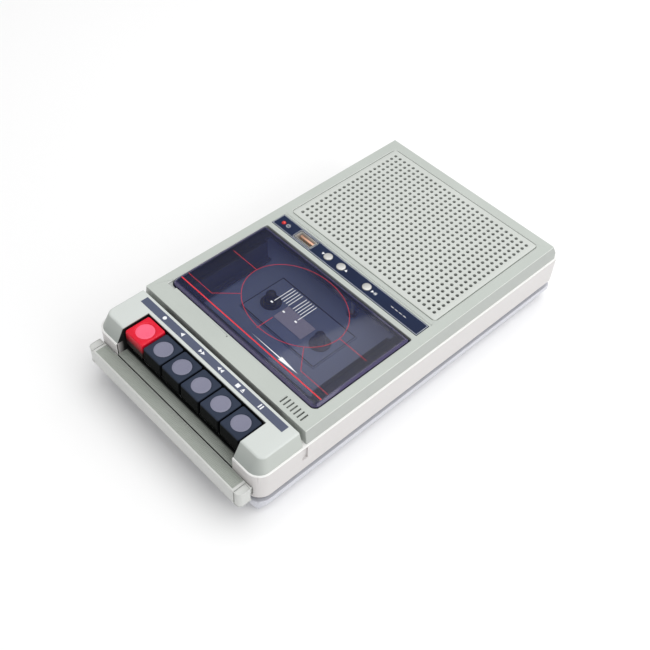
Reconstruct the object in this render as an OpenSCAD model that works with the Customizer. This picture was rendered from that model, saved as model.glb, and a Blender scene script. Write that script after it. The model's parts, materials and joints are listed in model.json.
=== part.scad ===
// Slim desktop cassette player with piano keys, a smoked cassette door, a side-to-side speaker grille,
// a strip of track buttons and a pull-out handle.
// Frame: origin at the bottom centre, +X to the right of the keys, +Y to the rear, +Z up.

/* [Case] */
// Width of the case at its rim
body_w = 142; // [136:1:172]
// Length of the case, without the handle
body_l = 248; // [244:1:300]
// Height of the deck above the table
deck_z = 45; // [44:1:50]
// Height of the rim where the side band ends
rim_z = 35.3; // [34:0.1:37]
// Height of the upper shell's lower edge
seam_z = 15.5; // [14:0.5:16]
// Height of the shadow gap between the shells
seam_gap = 4.2; // [3:0.2:5]
// Thickness of the moulded walls
wall = 2.2; // [1.8:0.1:2.4]
// Radius of the front corners in plan
corner_front = 9; // [6:0.5:9]
// Radius of the rear corners in plan
corner_rear = 4; // [3:0.5:6]
// Inward slope of the deck's sides, from rim to top
side_slope = 1.7; // [1:0.1:3]
// Inward slope of the deck's rear, from rim to top
rear_slope = 4.2; // [2:0.1:6]
// Width of the small ledge on the rim
ledge_w = 1; // [0.6:0.1:1.4]
// Inward taper of the bottom shell
base_taper = 4; // [2:0.5:5]

/* [Keys] */
// Distance from one key to the next
key_pitch = 16.5; // [16:0.1:17.2]
// Gap between two keys
key_gap = 0.6; // [0.4:0.1:1]
// Length of a key's top, front to rear
key_l = 17; // [15:0.5:18]
// Depth of the key tops below the housing
key_drop = 1.3; // [0.8:0.1:2]
// Extra height of the record key
record_rise = 0.6; // [0:0.1:1]
// Height of a key's skirt
key_skirt = 10.7; // [9:0.1:10.7]
// Radius of the round dish in a key
key_dish_r = 5.5; // [4:0.5:6]
// Radius of the key shaft
key_shaft_r = 2; // [1.5:0.1:2.5]
// Length of the housing that covers the keys' rear
housing_l = 31.3; // [30:0.1:33]
// Slope of the housing's front face
housing_slope = 5.2; // [3:0.1:6]

/* [Cassette door] */
// Width of the smoked lens
lens_w = 122.6; // [118:0.2:124]
// Length of the smoked lens
lens_l = 72.2; // [70:0.2:73]
// Height of the lens above the deck
lens_rise = 1.5; // [1:0.1:2]
// Gap round the lens
lens_gap = 0.6; // [0.4:0.1:1]
// Radius of a hinge pin
hinge_pin_r = 0.9; // [0.7:0.1:0.9]

/* [Speaker and grille] */
// Number of grille holes across the case
grille_cols = 29; // [21:1:31]
// Number of grille holes along the case
grille_rows = 22; // [18:1:22]
// Distance between grille holes
grille_pitch = 4; // [3.6:0.1:4.2]
// Radius of a grille hole
grille_hole_r = 0.98; // [0.7:0.02:1.1]
// Plain border outside the outer holes
grille_margin = 5; // [4:0.1:5]
// Radius of the speaker's frame
speaker_r = 38.5; // [33:0.5:40]

/* [Controls] */
// Length of the control strip, front to rear
strip_l = 10.9; // [9:0.1:11]
// Radius of a track button
button_r = 2.9; // [2.4:0.1:3.2]
// Travel of a track button
button_travel = 0.6; // [0.4:0.1:0.6]
// Radius of a thumb wheel
wheel_r = 9; // [8:0.5:9.5]
// Radius of the plug hole in a jack
jack_r = 1.8; // [1.6:0.1:2]

/* [Mechanism] */
// Distance between the two reel spindles
spindle_pitch = 42.5; // [42:0.1:43]
// Radius of the flywheel's belt groove
flywheel_groove_r = 20; // [17:0.5:21]
// Radius of the motor pulley's belt groove
pulley_groove_r = 4; // [3:0.5:5]
// Radius of the capstan
capstan_r = 1; // [0.8:0.1:1.2]
// Thickness of the drive belt
belt_t = 0.8; // [0.6:0.1:1]

/* [Handle] */
// Width of the handle
handle_w = 134; // [128:1:134]
// Depth of the handle bar, front to rear
handle_d = 8.7; // [7:0.1:9]
// Height of the handle's top face
handle_z = 27; // [26:0.5:27]
// Height of the handle bar
handle_h = 11.5; // [10:0.5:12]
// Gap between the case and the handle
handle_gap = 0.5; // [0.4:0.1:1]
// Width of a handle end cap
handle_cap_w = 4.8; // [4:0.1:6]
// Length of a handle arm inside the case
handle_arm_l = 60; // [55:1:65]

/* [Base] */
// Height of the rubber feet
foot_h = 2.2; // [1.5:0.1:3]
// Radius of the rubber feet
foot_r = 4.5; // [3.5:0.5:4.5]
// Inside width of the battery bay
bay_w = 108; // [104:1:110]
// Inside length of the battery bay
bay_l = 30; // [29.5:0.5:31]

/* [Hidden] */
$fn = 48;
eps = 0.01;
run_gap = 0.05;
slip_gap = 0.1;
part_gap = 0.35;

// colours
shell_colour = [0.79, 0.80, 0.76];
band_colour = [0.88, 0.88, 0.88];
key_colour = [0.24, 0.26, 0.33];
red_colour = [0.93, 0.16, 0.28];
navy_colour = [0.10, 0.14, 0.25];
slate_colour = [0.30, 0.34, 0.42];
steel_colour = [0.70, 0.71, 0.73];
black_colour = [0.10, 0.10, 0.11];
brass_colour = [0.80, 0.66, 0.35];
board_colour = [0.13, 0.38, 0.22];

// case, measured from its front and rear walls
handle_reach = handle_d + handle_gap;
y0 = -body_l / 2 + handle_reach / 2;
y1 = y0 + body_l;
base_top_z = seam_z - seam_gap;
floor_z = foot_h + wall;
tongue_gap = 0.3;
tongue_t = 1.6;
tongue_top = seam_z + 2;
tongue_out = wall + tongue_gap;
tongue_in = tongue_out + tongue_t;
deck_under = deck_z - wall;
deck_y = y0 + 34.6;
deck_half = body_w / 2 - ledge_w - side_slope;
deck_rear = y1 - ledge_w - rear_slope;
arc_steps = 8;

// keys and their housing
key_count = 6;
recess_w = key_count * key_pitch + 2;
recess_front_z = handle_z;
housing_y0 = y0 + ledge_w;
housing_y1 = housing_y0 + housing_l;
housing_half = body_w / 2 - ledge_w;
housing_t = 2;
recess_rear = housing_y1 - 8.9;
key_rear = recess_rear - 0.6;
key_front = key_rear - key_l;
key_top = deck_z - key_drop;
key_y = housing_y1 + 7.1;
key_z = 26;
key_hub_r = key_shaft_r + 2.5;
key_hub_w = 10;
shelf_l = 8;
shelf_t = 2;
label_w = recess_w + 20.2;
label_l = 5.1;
label_t = 0.5;
label_sunk = 0.3;
label_y = housing_y1 - 4.35;

// cassette door, well and spindles
lens_half = lens_w / 2;
lens_y0 = deck_y + 13.4;
lens_y1 = lens_y0 + lens_l;
lens_top = deck_z + lens_rise;
lens_t = 2.3;
lens_under = lens_top - lens_t;
lens_bevel = 1.2;
lens_corner = 4;
window_half = lens_half + lens_gap;
window_y0 = lens_y0 - lens_gap;
window_y1 = lens_y1 + 1.9;
hinge_y = lens_y1 - 3.8;
hinge_z = deck_under - 1;
well_floor = 29.5;
well_t = 1.5;
well_under = well_floor - well_t;
well_rear = window_y1 + 12.8;
well_rear_top = 37;
pad_half_w = 32;
pad_top = well_floor + 0.9;
spindle_y = lens_y1 - 30.3;
spindle_x = spindle_pitch / 2;
holder_side = 10.4;
holder_rail = lens_half - holder_side;
chassis_top = well_under - 1.3;
chassis_t = 1.2;
chassis_under = chassis_top - chassis_t;
capstan_x = 16.5;
capstan_y = window_y1 - 1.5;
flywheel_r = flywheel_groove_r + 1;
belt_z = chassis_under - 3.5;
belt_h = 1.6;
motor_x = -38;
motor_r = 15;
motor_top = 18.5;
head_plate_z = well_floor + 0.4;
head_plate_t = 1.2;
head_top = head_plate_z + head_plate_t;
guide_x = [-27, -12.5];
guide_r = 0.8;
guide_back = 8.9;
pinch_x = 31;
pinch_y = capstan_y + 8;
pinch_r = 4.2;
roller_x = capstan_x;
roller_y = capstan_y + capstan_r + pinch_r + 2.5;

// control strip
strip_w = grille_pitch * (grille_cols - 1) + 2 * grille_margin + 1.3;
strip_y = lens_y1 + 10.9;
strip_t = 0.6;
strip_sunk = 0.45;
strip_top = deck_z + strip_t - strip_sunk;
button_x = [-16.3, -5.2, 16.6];
button_top = strip_top + 0.85;
board_z = 38;
board_t = 1.2;
led_x = -56.2;
led_r = 1.5;
usb_x = -36.2;
usb_w = 14;
usb_l = 6.4;
usb_t = 0.5;
usb_h = 13.8;

// grille and speaker
grille_w = grille_pitch * (grille_cols - 1) + 2 * grille_margin;
grille_l = grille_pitch * (grille_rows - 1) + 2 * grille_margin;
grille_y = y1 - 59.2;
grille_t = 1.5;
grille_lip = 3;
cloth_t = 0.4;
baffle_t = 1.5;
cloth_under = deck_z - grille_t - cloth_t;
baffle_under = cloth_under - baffle_t;
magnet_r = 16;

// side and rear controls
wheel_x = -body_w / 2 + wheel_r + 0.4;
volume_y = y1 - 98.6;
tone_y = volume_y + 22;
wheel_z = 21.5;
wheel_t = 3.4;
jack_z = 27;
mic_jack_y = tone_y + 22;
ear_jack_y = mic_jack_y + 16;
inlet_x = 40;
inlet_z = 28;
main_board_z = 6.5;
transformer_x = 47;
transformer_y = y1 - 88.6;

// handle
handle_y0 = y0 - handle_gap - handle_d;
handle_y1 = y0 - handle_gap;
arm_x = handle_w / 2 - 3;
arm_w = 3.2;
arm_z = 18;
arm_h = 6.5;

// screws, feet and battery bay
screws = [[57.5, y0 + 13.4], [62.5, y1 - 8.6]];
side_shift = (body_w - 142) / 2;
boss_r = 3.5;
screw_r = 1.25;
boss_split = 15;
feet = [[60, y0 + 27.4], [61.5, y1 - 24.6]];
bay_y1 = y1 - tongue_in;
bay_y0 = bay_y1 - bay_l;
bay_top = 20;
bay_wall = 1.5;
door_t = 1.8;

function arc(x, y, r, from) =
    [for (i = [0 : arc_steps]) [x + r * cos(from + 90 * i / arc_steps), y + r * sin(from + 90 * i / arc_steps)]];

// Outline of a rounded rectangle: half width, front, rear, front and rear corner radii
function outline(half, front, rear, rf, rr) = concat(
    arc(half - rf, front + rf, rf, -90),
    arc(half - rr, rear - rr, rr, 0),
    arc(-half + rr, rear - rr, rr, 90),
    arc(-half + rf, front + rf, rf, 180));

module slab(half, front, rear, low, high, rf = 1, rr = 1) {
    translate([0, 0, low])
        linear_extrude(high - low)
            polygon(outline(half, front, rear, rf, rr));
}

module block(x0, x1, front, rear, low, high) {
    translate([x0, front, low])
        cube([x1 - x0, rear - front, high - low]);
}

module both_sides() {
    children();
    mirror([1, 0, 0]) children();
}

module upright(x, y, r, low, high) {
    translate([x, y, low])
        cylinder(h = high - low, r = r);
}

module across(y, z, r, x0, x1) {
    translate([x0, y, z])
        rotate([0, 90, 0])
            cylinder(h = x1 - x0, r = r);
}

// Solid bounded by a profile seen from the front and a profile seen from the side
module two_profiles(front_profile, side_profile) {
    intersection() {
        translate([0, 2 * body_l, 0])
            rotate([90, 0, 0])
                linear_extrude(4 * body_l)
                    polygon(front_profile);
        translate([-body_w, 0, 0])
            rotate([90, 0, 90])
                linear_extrude(2 * body_w)
                    polygon(side_profile);
    }
}

module bottom_shell() {
    half = body_w / 2;
    taper_z = base_top_z - 3.5;
    color(band_colour)
        difference() {
            union() {
                intersection() {
                    slab(half, y0, y1, foot_h, base_top_z, corner_front, corner_rear);
                    two_profiles(
                        [[-half + base_taper, foot_h], [half - base_taper, foot_h], [half, taper_z],
                            [half, deck_z], [-half, deck_z], [-half, taper_z]],
                        [[y0 + base_taper, foot_h], [y1 - base_taper, foot_h], [y1, taper_z],
                            [y1, deck_z], [y0, deck_z], [y0, taper_z]]);
                }
                difference() {
                    slab(half - tongue_out, y0 + tongue_out, y1 - tongue_out, floor_z, tongue_top,
                        corner_front - tongue_out, corner_rear - tongue_out);
                    slab(half - tongue_in, y0 + tongue_in, y1 - tongue_in, floor_z, tongue_top + 1,
                        corner_front - tongue_in, 0.4);
                }
            }
            difference() {
                slab(half - tongue_in, y0 + tongue_in, y1 - tongue_in, floor_z, tongue_top + 1,
                    corner_front - tongue_in, 0.4);
                battery_bay_outside();
                both_sides()
                    for (s = screws)
                        upright(s[0] + side_shift, s[1], boss_r, foot_h, boss_split);
                both_sides()
                    upright(48, key_y - 1, 3, foot_h, key_z - 13);
                for (x = [-60, 20], y = [volume_y, volume_y + 56])
                    upright(x, y, 2.5, foot_h, main_board_z);
                translate([motor_x, capstan_y, foot_h])
                    difference() {
                        cylinder(h = 5, r = motor_r + 2);
                        cylinder(h = 6, r = motor_r + slip_gap);
                    }
            }
            block(-bay_w / 2, bay_w / 2, bay_y0, bay_y1, 0, bay_top);
            block(-bay_w / 2 - 2.3, bay_w / 2 + 2.3, bay_y0 - 1.8, y1 + 1, 0, foot_h + door_t + 0.1);
            both_sides()
                for (s = screws) {
                    upright(s[0] + side_shift, s[1], screw_r + run_gap, 0, boss_split + 1);
                    upright(s[0] + side_shift, s[1], 3, 0, foot_h + 4);
                }
        }
    color(band_colour)
        difference() {
            block(-bay_w / 2 - bay_wall, bay_w / 2 + bay_wall, bay_y0 - bay_wall, bay_y1 + bay_wall,
                tongue_top, bay_top + bay_wall);
            block(-bay_w / 2, bay_w / 2, bay_y0, bay_y1, 0, bay_top);
        }
}

module battery_bay_outside() {
    block(-bay_w / 2 - bay_wall, bay_w / 2 + bay_wall, bay_y0 - bay_wall, bay_y1 + bay_wall,
        0, bay_top + bay_wall);
}

module shell_outside() {
    half = body_w / 2;
    slab(half, y0, y1, seam_z, rim_z, corner_front, corner_rear);
    intersection() {
        two_profiles(
            [[-half + ledge_w, seam_z + 5], [half - ledge_w, seam_z + 5], [half - ledge_w, rim_z],
                [deck_half, deck_z], [-deck_half, deck_z], [-half + ledge_w, rim_z]],
            [[deck_y, seam_z + 5], [y1 - ledge_w, seam_z + 5], [y1 - ledge_w, rim_z], [deck_rear, deck_z],
                [deck_y + 0.4, deck_z], [deck_y, rim_z]]);
        slab(half - ledge_w, deck_y - 1, y1 - ledge_w, seam_z + 5, deck_z + 1, 0.8, corner_rear);
    }
}

module shell_inside() {
    half = body_w / 2 - wall;
    slab(half, y0 + wall, y1 - wall, seam_z - 1, rim_z - wall, corner_front - wall, corner_rear - wall);
    two_profiles(
        [[-half + ledge_w, seam_z + 6], [half - ledge_w, seam_z + 6], [half - ledge_w, rim_z],
            [deck_half - wall, deck_under], [-deck_half + wall, deck_under], [-half + ledge_w, rim_z]],
        [[deck_y + wall, seam_z + 6], [y1 - ledge_w - wall, seam_z + 6], [y1 - ledge_w - wall, rim_z],
            [deck_rear - wall, deck_under], [deck_y + wall, deck_under]]);
}

module upper_shell() {
    half = body_w / 2;
    color(shell_colour)
        difference() {
            union() {
                difference() {
                    shell_outside();
                    shell_inside();
                    block(-recess_w / 2, recess_w / 2, y0 - 1, deck_y - 5, recess_front_z, deck_z + 1);
                }
                block(-recess_w / 2 - 1, recess_w / 2 + 1, y0 + 1, y0 + shelf_l,
                    recess_front_z - shelf_t, recess_front_z);
                both_sides()
                    block(recess_w / 2, recess_w / 2 + 2, y0 + 1, deck_y - 5, recess_front_z - 5, rim_z - 1);
                both_sides() {
                    upright(screws[0][0] + side_shift, screws[0][1], boss_r, boss_split + 0.2, rim_z - 1);
                    upright(screws[1][0] + side_shift, screws[1][1], boss_r, boss_split + 0.2, deck_z - 1);
                }
                grille_frame();
                for (p = [[-50, -3.6], [24, -3.6], [24, 4.4]])
                    upright(p[0], strip_y + p[1], 1.8, board_z + board_t, deck_z - 1);
            }
            slab(window_half, window_y0, window_y1, deck_under - 1, deck_z + 1, lens_corner, 1.5);
            block(-window_half, -window_half + 6, window_y0 - 1.6, window_y0 + 2, deck_z - 1.2, deck_z + 1);
            slab(grille_w / 2 + part_gap, grille_y - grille_l / 2 - part_gap, grille_y + grille_l / 2 + part_gap,
                deck_z - grille_t, deck_z + 1, 3, 3);
            block(-grille_w / 2 + grille_lip, grille_w / 2 - grille_lip, grille_y - grille_l / 2 + grille_lip,
                grille_y + grille_l / 2 - grille_lip, deck_under - 4, deck_z + 1);
            block(-strip_w / 2, strip_w / 2, strip_y - strip_l / 2, strip_y + strip_l / 2,
                deck_z - strip_sunk, deck_z + 1);
            block(-strip_w / 2, strip_w / 2, strip_y + strip_l / 2 + 1.2, strip_y + strip_l / 2 + 1.7,
                deck_z - 0.5, deck_z + 1);
            strip_holes(deck_under - 1, deck_z + 1);
            microphone_slots();
            upright(-8.2, window_y0 - 1.7, 0.6, deck_z - 1, deck_z + 1);
            both_sides() {
                block(half - 1.2, half + 1, housing_y1 - 1.2, housing_y1 + 2.6, rim_z - 10.8, rim_z - 1.2);
                block(arm_x - arm_w / 2 - 0.4, arm_x + arm_w / 2 + 0.4, y0 - 1, y0 + 12,
                    arm_z - 0.3, arm_z + arm_h + 0.3);
                for (s = screws)
                    upright(s[0] + side_shift, s[1], screw_r + run_gap, boss_split, rim_z - 6);
            }
            wheel_slot(volume_y);
            wheel_slot(tone_y);
            for (y = [mic_jack_y, ear_jack_y])
                across(y, jack_z, 3.3, -half - 1, -half + wall + 1);
            block(inlet_x - 9, inlet_x + 9, y1 - wall - 1, y1 + 1, inlet_z - 5.5, inlet_z + 5.5);
        }
}

// Frame under the deck that carries the grille
module grille_frame() {
    difference() {
        block(-grille_w / 2 - 1.5, grille_w / 2 + 1.5, grille_y - grille_l / 2 - 1.5,
            grille_y + grille_l / 2 + 1.5, baffle_under, deck_z - 1);
        block(-grille_w / 2 + grille_lip, grille_w / 2 - grille_lip, grille_y - grille_l / 2 + grille_lip,
            grille_y + grille_l / 2 - grille_lip, baffle_under - 1, deck_z + 1);
    }
}

module microphone_slots() {
    slot_w = 1.1;
    slot_l = 5.6;
    slot_pitch = 2.68;
    for (i = [0 : 6])
        block(deck_half - 23.6 + i * slot_pitch, deck_half - 23.6 + i * slot_pitch + slot_w,
            deck_y + 3, deck_y + 3 + slot_l, deck_under - 1, deck_z + 1);
}

module wheel_slot(y) {
    half = body_w / 2;
    block(-half - 1, -half + wall + 1, y - wheel_r + 0.5, y + wheel_r - 0.5, wheel_z - 0.5, wheel_z + wheel_t + 0.5);
}

module strip_holes(low, high) {
    for (x = button_x)
        upright(x, strip_y, button_r + slip_gap, low, high);
    upright(led_x, strip_y, led_r + slip_gap, low, high);
    block(usb_x - usb_w / 2 - part_gap, usb_x + usb_w / 2 + part_gap, strip_y - usb_l / 2 - part_gap,
        strip_y + usb_l / 2 + part_gap, low, high);
}

module key_housing() {
    opening = recess_w / 2;
    inner = housing_half - housing_t;
    roof = deck_z - housing_t;
    color(shell_colour)
        difference() {
            intersection() {
                two_profiles(
                    [[-housing_half, rim_z], [housing_half, rim_z], [housing_half - 3, deck_z],
                        [-housing_half + 3, deck_z]],
                    [[housing_y0, rim_z], [housing_y1, rim_z], [housing_y1, deck_z],
                        [housing_y0 + housing_slope, deck_z]]);
                slab(housing_half, housing_y0, housing_y1, rim_z, deck_z + 1, corner_front - ledge_w, 0.8);
            }
            difference() {
                two_profiles(
                    [[-inner, rim_z - 1], [inner, rim_z - 1], [inner - 3, roof], [-inner + 3, roof]],
                    [[housing_y0 + housing_t, rim_z - 1], [housing_y1 - housing_t, rim_z - 1],
                        [housing_y1 - housing_t, roof], [housing_y0 + housing_slope + housing_t, roof]]);
                both_sides()
                    block(opening, opening + housing_t, housing_y0, recess_rear, rim_z - 2, deck_z);
            }
            block(-opening, opening, housing_y0 - 1, recess_rear, rim_z - 1, deck_z + 1);
            block(-label_w / 2, label_w / 2, label_y - label_l / 2, label_y + label_l / 2,
                deck_z - label_sunk, deck_z + 1);
        }
}

module key_label_strip() {
    color(slate_colour)
        block(-label_w / 2 + slip_gap, label_w / 2 - slip_gap, label_y - label_l / 2 + slip_gap,
            label_y + label_l / 2 - slip_gap, deck_z - label_sunk, deck_z - label_sunk + label_t);
}

module speaker_grille() {
    first_x = -grille_pitch * (grille_cols - 1) / 2;
    first_y = -grille_pitch * (grille_rows - 1) / 2;
    color(band_colour)
        translate([0, grille_y, deck_z - grille_t])
            linear_extrude(grille_t)
                difference() {
                    polygon(outline(grille_w / 2, -grille_l / 2, grille_l / 2, 2.6, 2.6));
                    for (i = [0 : grille_cols - 1], j = [0 : grille_rows - 1])
                        translate([first_x + i * grille_pitch, first_y + j * grille_pitch])
                            circle(r = grille_hole_r, $fn = 16);
                }
}

module under_grille(low, high) {
    edge = grille_lip + 0.2;
    block(-grille_w / 2 + edge, grille_w / 2 - edge, grille_y - grille_l / 2 + edge,
        grille_y + grille_l / 2 - edge, low, high);
}

module speaker_cloth() {
    color(black_colour)
        under_grille(cloth_under, cloth_under + cloth_t);
}

module speaker_baffle() {
    color(black_colour)
        difference() {
            under_grille(baffle_under, cloth_under);
            upright(0, grille_y, speaker_r - 4, baffle_under - 1, cloth_under + 1);
        }
}

module speaker_basket() {
    color(steel_colour)
        translate([0, grille_y, 0])
            rotate_extrude()
                polygon([[12, 30.2], [magnet_r, 30.2], [speaker_r - 5, baffle_under - 1.5],
                    [speaker_r, baffle_under - 1.5], [speaker_r, baffle_under], [speaker_r - 5.6, baffle_under],
                    [magnet_r - 0.8, 31.6], [12, 31.6]]);
}

module speaker_cone() {
    color(black_colour)
        translate([0, grille_y, 0])
            rotate_extrude()
                polygon([[0, 34.6], [9.5, 33.4], [speaker_r - 7.4, baffle_under - 0.6],
                    [speaker_r - 6.5, baffle_under - 0.4], [speaker_r - 6.5, baffle_under],
                    [speaker_r - 8, baffle_under], [9, 35.2], [5, 37], [0, 37.6]]);
}

module speaker_magnet() {
    color(steel_colour)
        upright(0, grille_y, magnet_r, 20.5, 30.2);
}

module control_strip() {
    color(navy_colour)
        difference() {
            block(-strip_w / 2 + slip_gap, strip_w / 2 - slip_gap, strip_y - strip_l / 2 + slip_gap,
                strip_y + strip_l / 2 - slip_gap, deck_z - strip_sunk, strip_top);
            strip_holes(deck_z - 2, deck_z + 2);
        }
}

module power_led() {
    color(red_colour) {
        upright(led_x, strip_y, led_r, board_z + board_t, strip_top - 0.7);
        translate([led_x, strip_y, strip_top - 0.7])
            intersection() {
                sphere(r = led_r);
                upright(0, 0, led_r + 1, -eps, led_r + 1);
            }
    }
}

module usb_socket() {
    top = strip_top + 0.1;
    color(steel_colour)
        difference() {
            block(usb_x - usb_w / 2, usb_x + usb_w / 2, strip_y - usb_l / 2, strip_y + usb_l / 2,
                top - usb_h, top);
            block(usb_x - usb_w / 2 + usb_t, usb_x + usb_w / 2 - usb_t, strip_y - usb_l / 2 + usb_t,
                strip_y + usb_l / 2 - usb_t, top - usb_h + 1.5, top + 1);
        }
    color(black_colour)
        block(usb_x - usb_w / 2 + 1.2, usb_x + usb_w / 2 - 1.2, strip_y + 0.5, strip_y + 2.3,
            top - usb_h + 1.5, top - 5);
}

module control_board() {
    color(board_colour)
        difference() {
            block(-60, 28, strip_y - 6.4, strip_y + 6.6, board_z, board_z + board_t);
            block(usb_x - usb_w / 2 - 0.5, usb_x + usb_w / 2 + 0.5, strip_y - usb_l / 2 - 0.5,
                strip_y + usb_l / 2 + 0.5, board_z - 1, board_z + board_t + 1);
        }
    color(black_colour)
        for (x = button_x)
            block(x - 3, x + 3, strip_y - 3, strip_y + 3, board_z + board_t, board_z + board_t + 1.8);
}

module track_button(x) {
    flange_z = deck_under - 0.8;
    color(band_colour) {
        upright(x, strip_y, button_r, flange_z, button_top);
        upright(x, strip_y, button_r + 0.7, flange_z, flange_z + 0.5);
    }
}

module cassette_well() {
    side = window_half;
    color(black_colour)
        difference() {
            union() {
                block(-side - well_t, side + well_t, window_y0 - well_t, window_y1 + well_t,
                    well_under, deck_under);
                block(-side - well_t, side + well_t, window_y1, well_rear + well_t, well_under, well_rear_top);
                both_sides() {
                    block(side, side + 4, hinge_y - 3, hinge_y + 3, hinge_z - 3, deck_under);
                    for (y = [window_y0 + 8, well_rear - 10])
                        upright(side - 10, y, 3, chassis_top, well_under + 0.5);
                }
            }
            block(-side, side, window_y0, window_y1, well_floor, deck_z);
            block(-side, side, window_y1 - 1, well_rear, well_floor, deck_z);
            well_holes(well_floor + eps);
            both_sides()
                across(hinge_y, hinge_z, hinge_pin_r + 0.02, side - 1, side + 5);
        }
    color(black_colour)
        for (x = guide_x)
            upright(x, well_rear - guide_back, guide_r, well_floor - 1, head_top + 0.6);
    color(slate_colour)
        difference() {
            block(-pad_half_w, pad_half_w, spindle_y - 15.5, spindle_y + 19.5, well_floor, pad_top);
            well_holes(pad_top + 1);
        }
}

module well_holes(high) {
    both_sides()
        upright(spindle_x, spindle_y, 3.6, well_under - 1, high);
    upright(capstan_x, capstan_y, 3.2, well_under - 1, high);
    upright(pinch_x, pinch_y, 2.4, well_under - 1, high);
}

module chassis_plate() {
    color(steel_colour)
        difference() {
            union() {
                block(-57, 57, window_y0 + 2, well_rear - 3, chassis_under, chassis_top);
                upright(pinch_x, pinch_y, 1.5, chassis_under, well_floor + 3.4);
            }
            both_sides()
                upright(spindle_x, spindle_y, 1.2 + run_gap, chassis_under - 1, chassis_top + 1);
            upright(capstan_x, capstan_y, 2.2, chassis_under - 1, chassis_top + 1);
        }
}

module spindle(x) {
    disc_z = pad_top + 0.3;
    tip = 39.3;
    color(black_colour)
        translate([x, spindle_y, 0]) {
            upright(0, 0, 1.2, chassis_under - 5, disc_z + 0.5);
            upright(0, 0, 2.8, chassis_top + 0.4, disc_z + 0.5);
            upright(0, 0, 9, chassis_under - 4.6, chassis_under - 1.2);
            upright(0, 0, 6, disc_z, disc_z + 0.9);
            upright(0, 0, 3.2, disc_z, tip - 1.4);
            translate([0, 0, tip - 1.4])
                cylinder(h = 1.4, r1 = 3.2, r2 = 1.6);
            for (a = [0, 120, 240])
                rotate([0, 0, a])
                    block(0, 4.4, -0.6, 0.6, disc_z + 0.5, tip - 2.4);
        }
}

module flywheel() {
    color(steel_colour)
        translate([capstan_x, capstan_y, 0])
            rotate_extrude()
                polygon([[0, belt_z - 6], [capstan_r, belt_z - 6], [capstan_r, belt_z - 2.4],
                    [flywheel_r, belt_z - 2.4], [flywheel_r, belt_z - 1], [flywheel_groove_r, belt_z - 1],
                    [flywheel_groove_r, belt_z + 1], [flywheel_r, belt_z + 1], [flywheel_r, belt_z + 2.4],
                    [4, belt_z + 2.4], [4, belt_z + 2.9], [capstan_r, belt_z + 2.9], [capstan_r, 39.5],
                    [0, 39.5]]);
}

module capstan_bearing() {
    color(brass_colour)
        difference() {
            union() {
                upright(capstan_x, capstan_y, 2.15, chassis_under, well_floor + 1.4);
                upright(capstan_x, capstan_y, 3, chassis_top, chassis_top + 1);
            }
            upright(capstan_x, capstan_y, capstan_r + run_gap, chassis_under - 1, 35);
        }
}

module drive_motor() {
    color(steel_colour)
        difference() {
            union() {
                upright(motor_x, capstan_y, motor_r, floor_z, motor_top);
                upright(motor_x, capstan_y, 3.5, motor_top, motor_top + 0.8);
            }
            upright(motor_x, capstan_y, 1 + run_gap, motor_top - 8, motor_top + 2);
        }
}

module motor_pulley() {
    flange = pulley_groove_r + 1;
    color(brass_colour)
        translate([motor_x, capstan_y, 0])
            rotate_extrude()
                polygon([[0, motor_top - 7], [1, motor_top - 7], [1, belt_z - 1.8], [flange, belt_z - 1.8],
                    [flange, belt_z - 1], [pulley_groove_r, belt_z - 1], [pulley_groove_r, belt_z + 1],
                    [flange, belt_z + 1], [flange, belt_z + 1.8], [0, belt_z + 1.8]]);
}

// Closed belt line round the pulley and the flywheel, grown by a distance
function belt_line(grow) =
    let (d = capstan_x - motor_x,
        small = pulley_groove_r + grow,
        large = flywheel_groove_r + grow,
        lean = acos((large - small) / d))
    concat(
        [for (i = [0 : 48]) let (a = -180 + lean + (360 - 2 * lean) * i / 48)
            [capstan_x + large * cos(a), large * sin(a)]],
        [for (i = [0 : 16]) let (a = 180 - lean + 2 * lean * i / 16)
            [motor_x + small * cos(a), small * sin(a)]]);

module drive_belt() {
    color(black_colour)
        translate([0, capstan_y, belt_z - belt_h / 2])
            linear_extrude(belt_h)
                difference() {
                    polygon(belt_line(0.15 + belt_t));
                    polygon(belt_line(0.15));
                }
}

module head_plate() {
    color(steel_colour)
        difference() {
            union() {
                block(-30, 8, well_rear - 11.3, well_rear - 0.7, head_plate_z, head_top);
                block(-29, 7, well_rear - 1.9, well_rear - 0.7, head_top, head_top + 3);
            }
            for (x = guide_x)
                block(x - guide_r - 0.3, x + guide_r + 0.3, well_rear - guide_back - guide_r - 0.3,
                    well_rear - 2.8, head_plate_z - 1, head_top + 1);
        }
}

module record_play_head() {
    front = well_rear - 10.2;
    color(steel_colour)
        difference() {
            block(-6.5, 6.5, front, front + 6.2, head_top, head_top + 6);
            block(-7.5, -2.6, front - 1, front + 1.2, head_top - 1, head_top + 7);
            block(2.6, 7.5, front - 1, front + 1.2, head_top - 1, head_top + 7);
        }
}

module erase_head() {
    front = well_rear - 9.4;
    color(black_colour)
        difference() {
            block(-23.5, -16, front, front + 5.4, head_top, head_top + 5.4);
            block(-20, -19.5, front - 1, front + 0.6, head_top - 1, head_top + 7);
        }
}

module pinch_arm() {
    arm_low = well_floor + 0.5;
    color(steel_colour)
        difference() {
            union() {
                upright(pinch_x, pinch_y, 2.2, chassis_top + 0.4, arm_low + 2);
                upright(pinch_x, pinch_y, 3.2, arm_low, arm_low + 1.2);
                block(roller_x, pinch_x, roller_y - 2.2, roller_y + 2.2, arm_low, arm_low + 1.2);
                upright(roller_x, roller_y, 3, arm_low, arm_low + 1.2);
                upright(roller_x, roller_y, 1, arm_low, arm_low + 7.4);
            }
            upright(pinch_x, pinch_y, 1.5 + run_gap, chassis_top - 1, arm_low + 3);
        }
}

module pinch_roller() {
    low = well_floor + 2;
    color(black_colour)
        difference() {
            upright(roller_x, roller_y, pinch_r, low, low + 5.6);
            upright(roller_x, roller_y, 1 + run_gap, low - 1, low + 8);
        }
}

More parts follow.
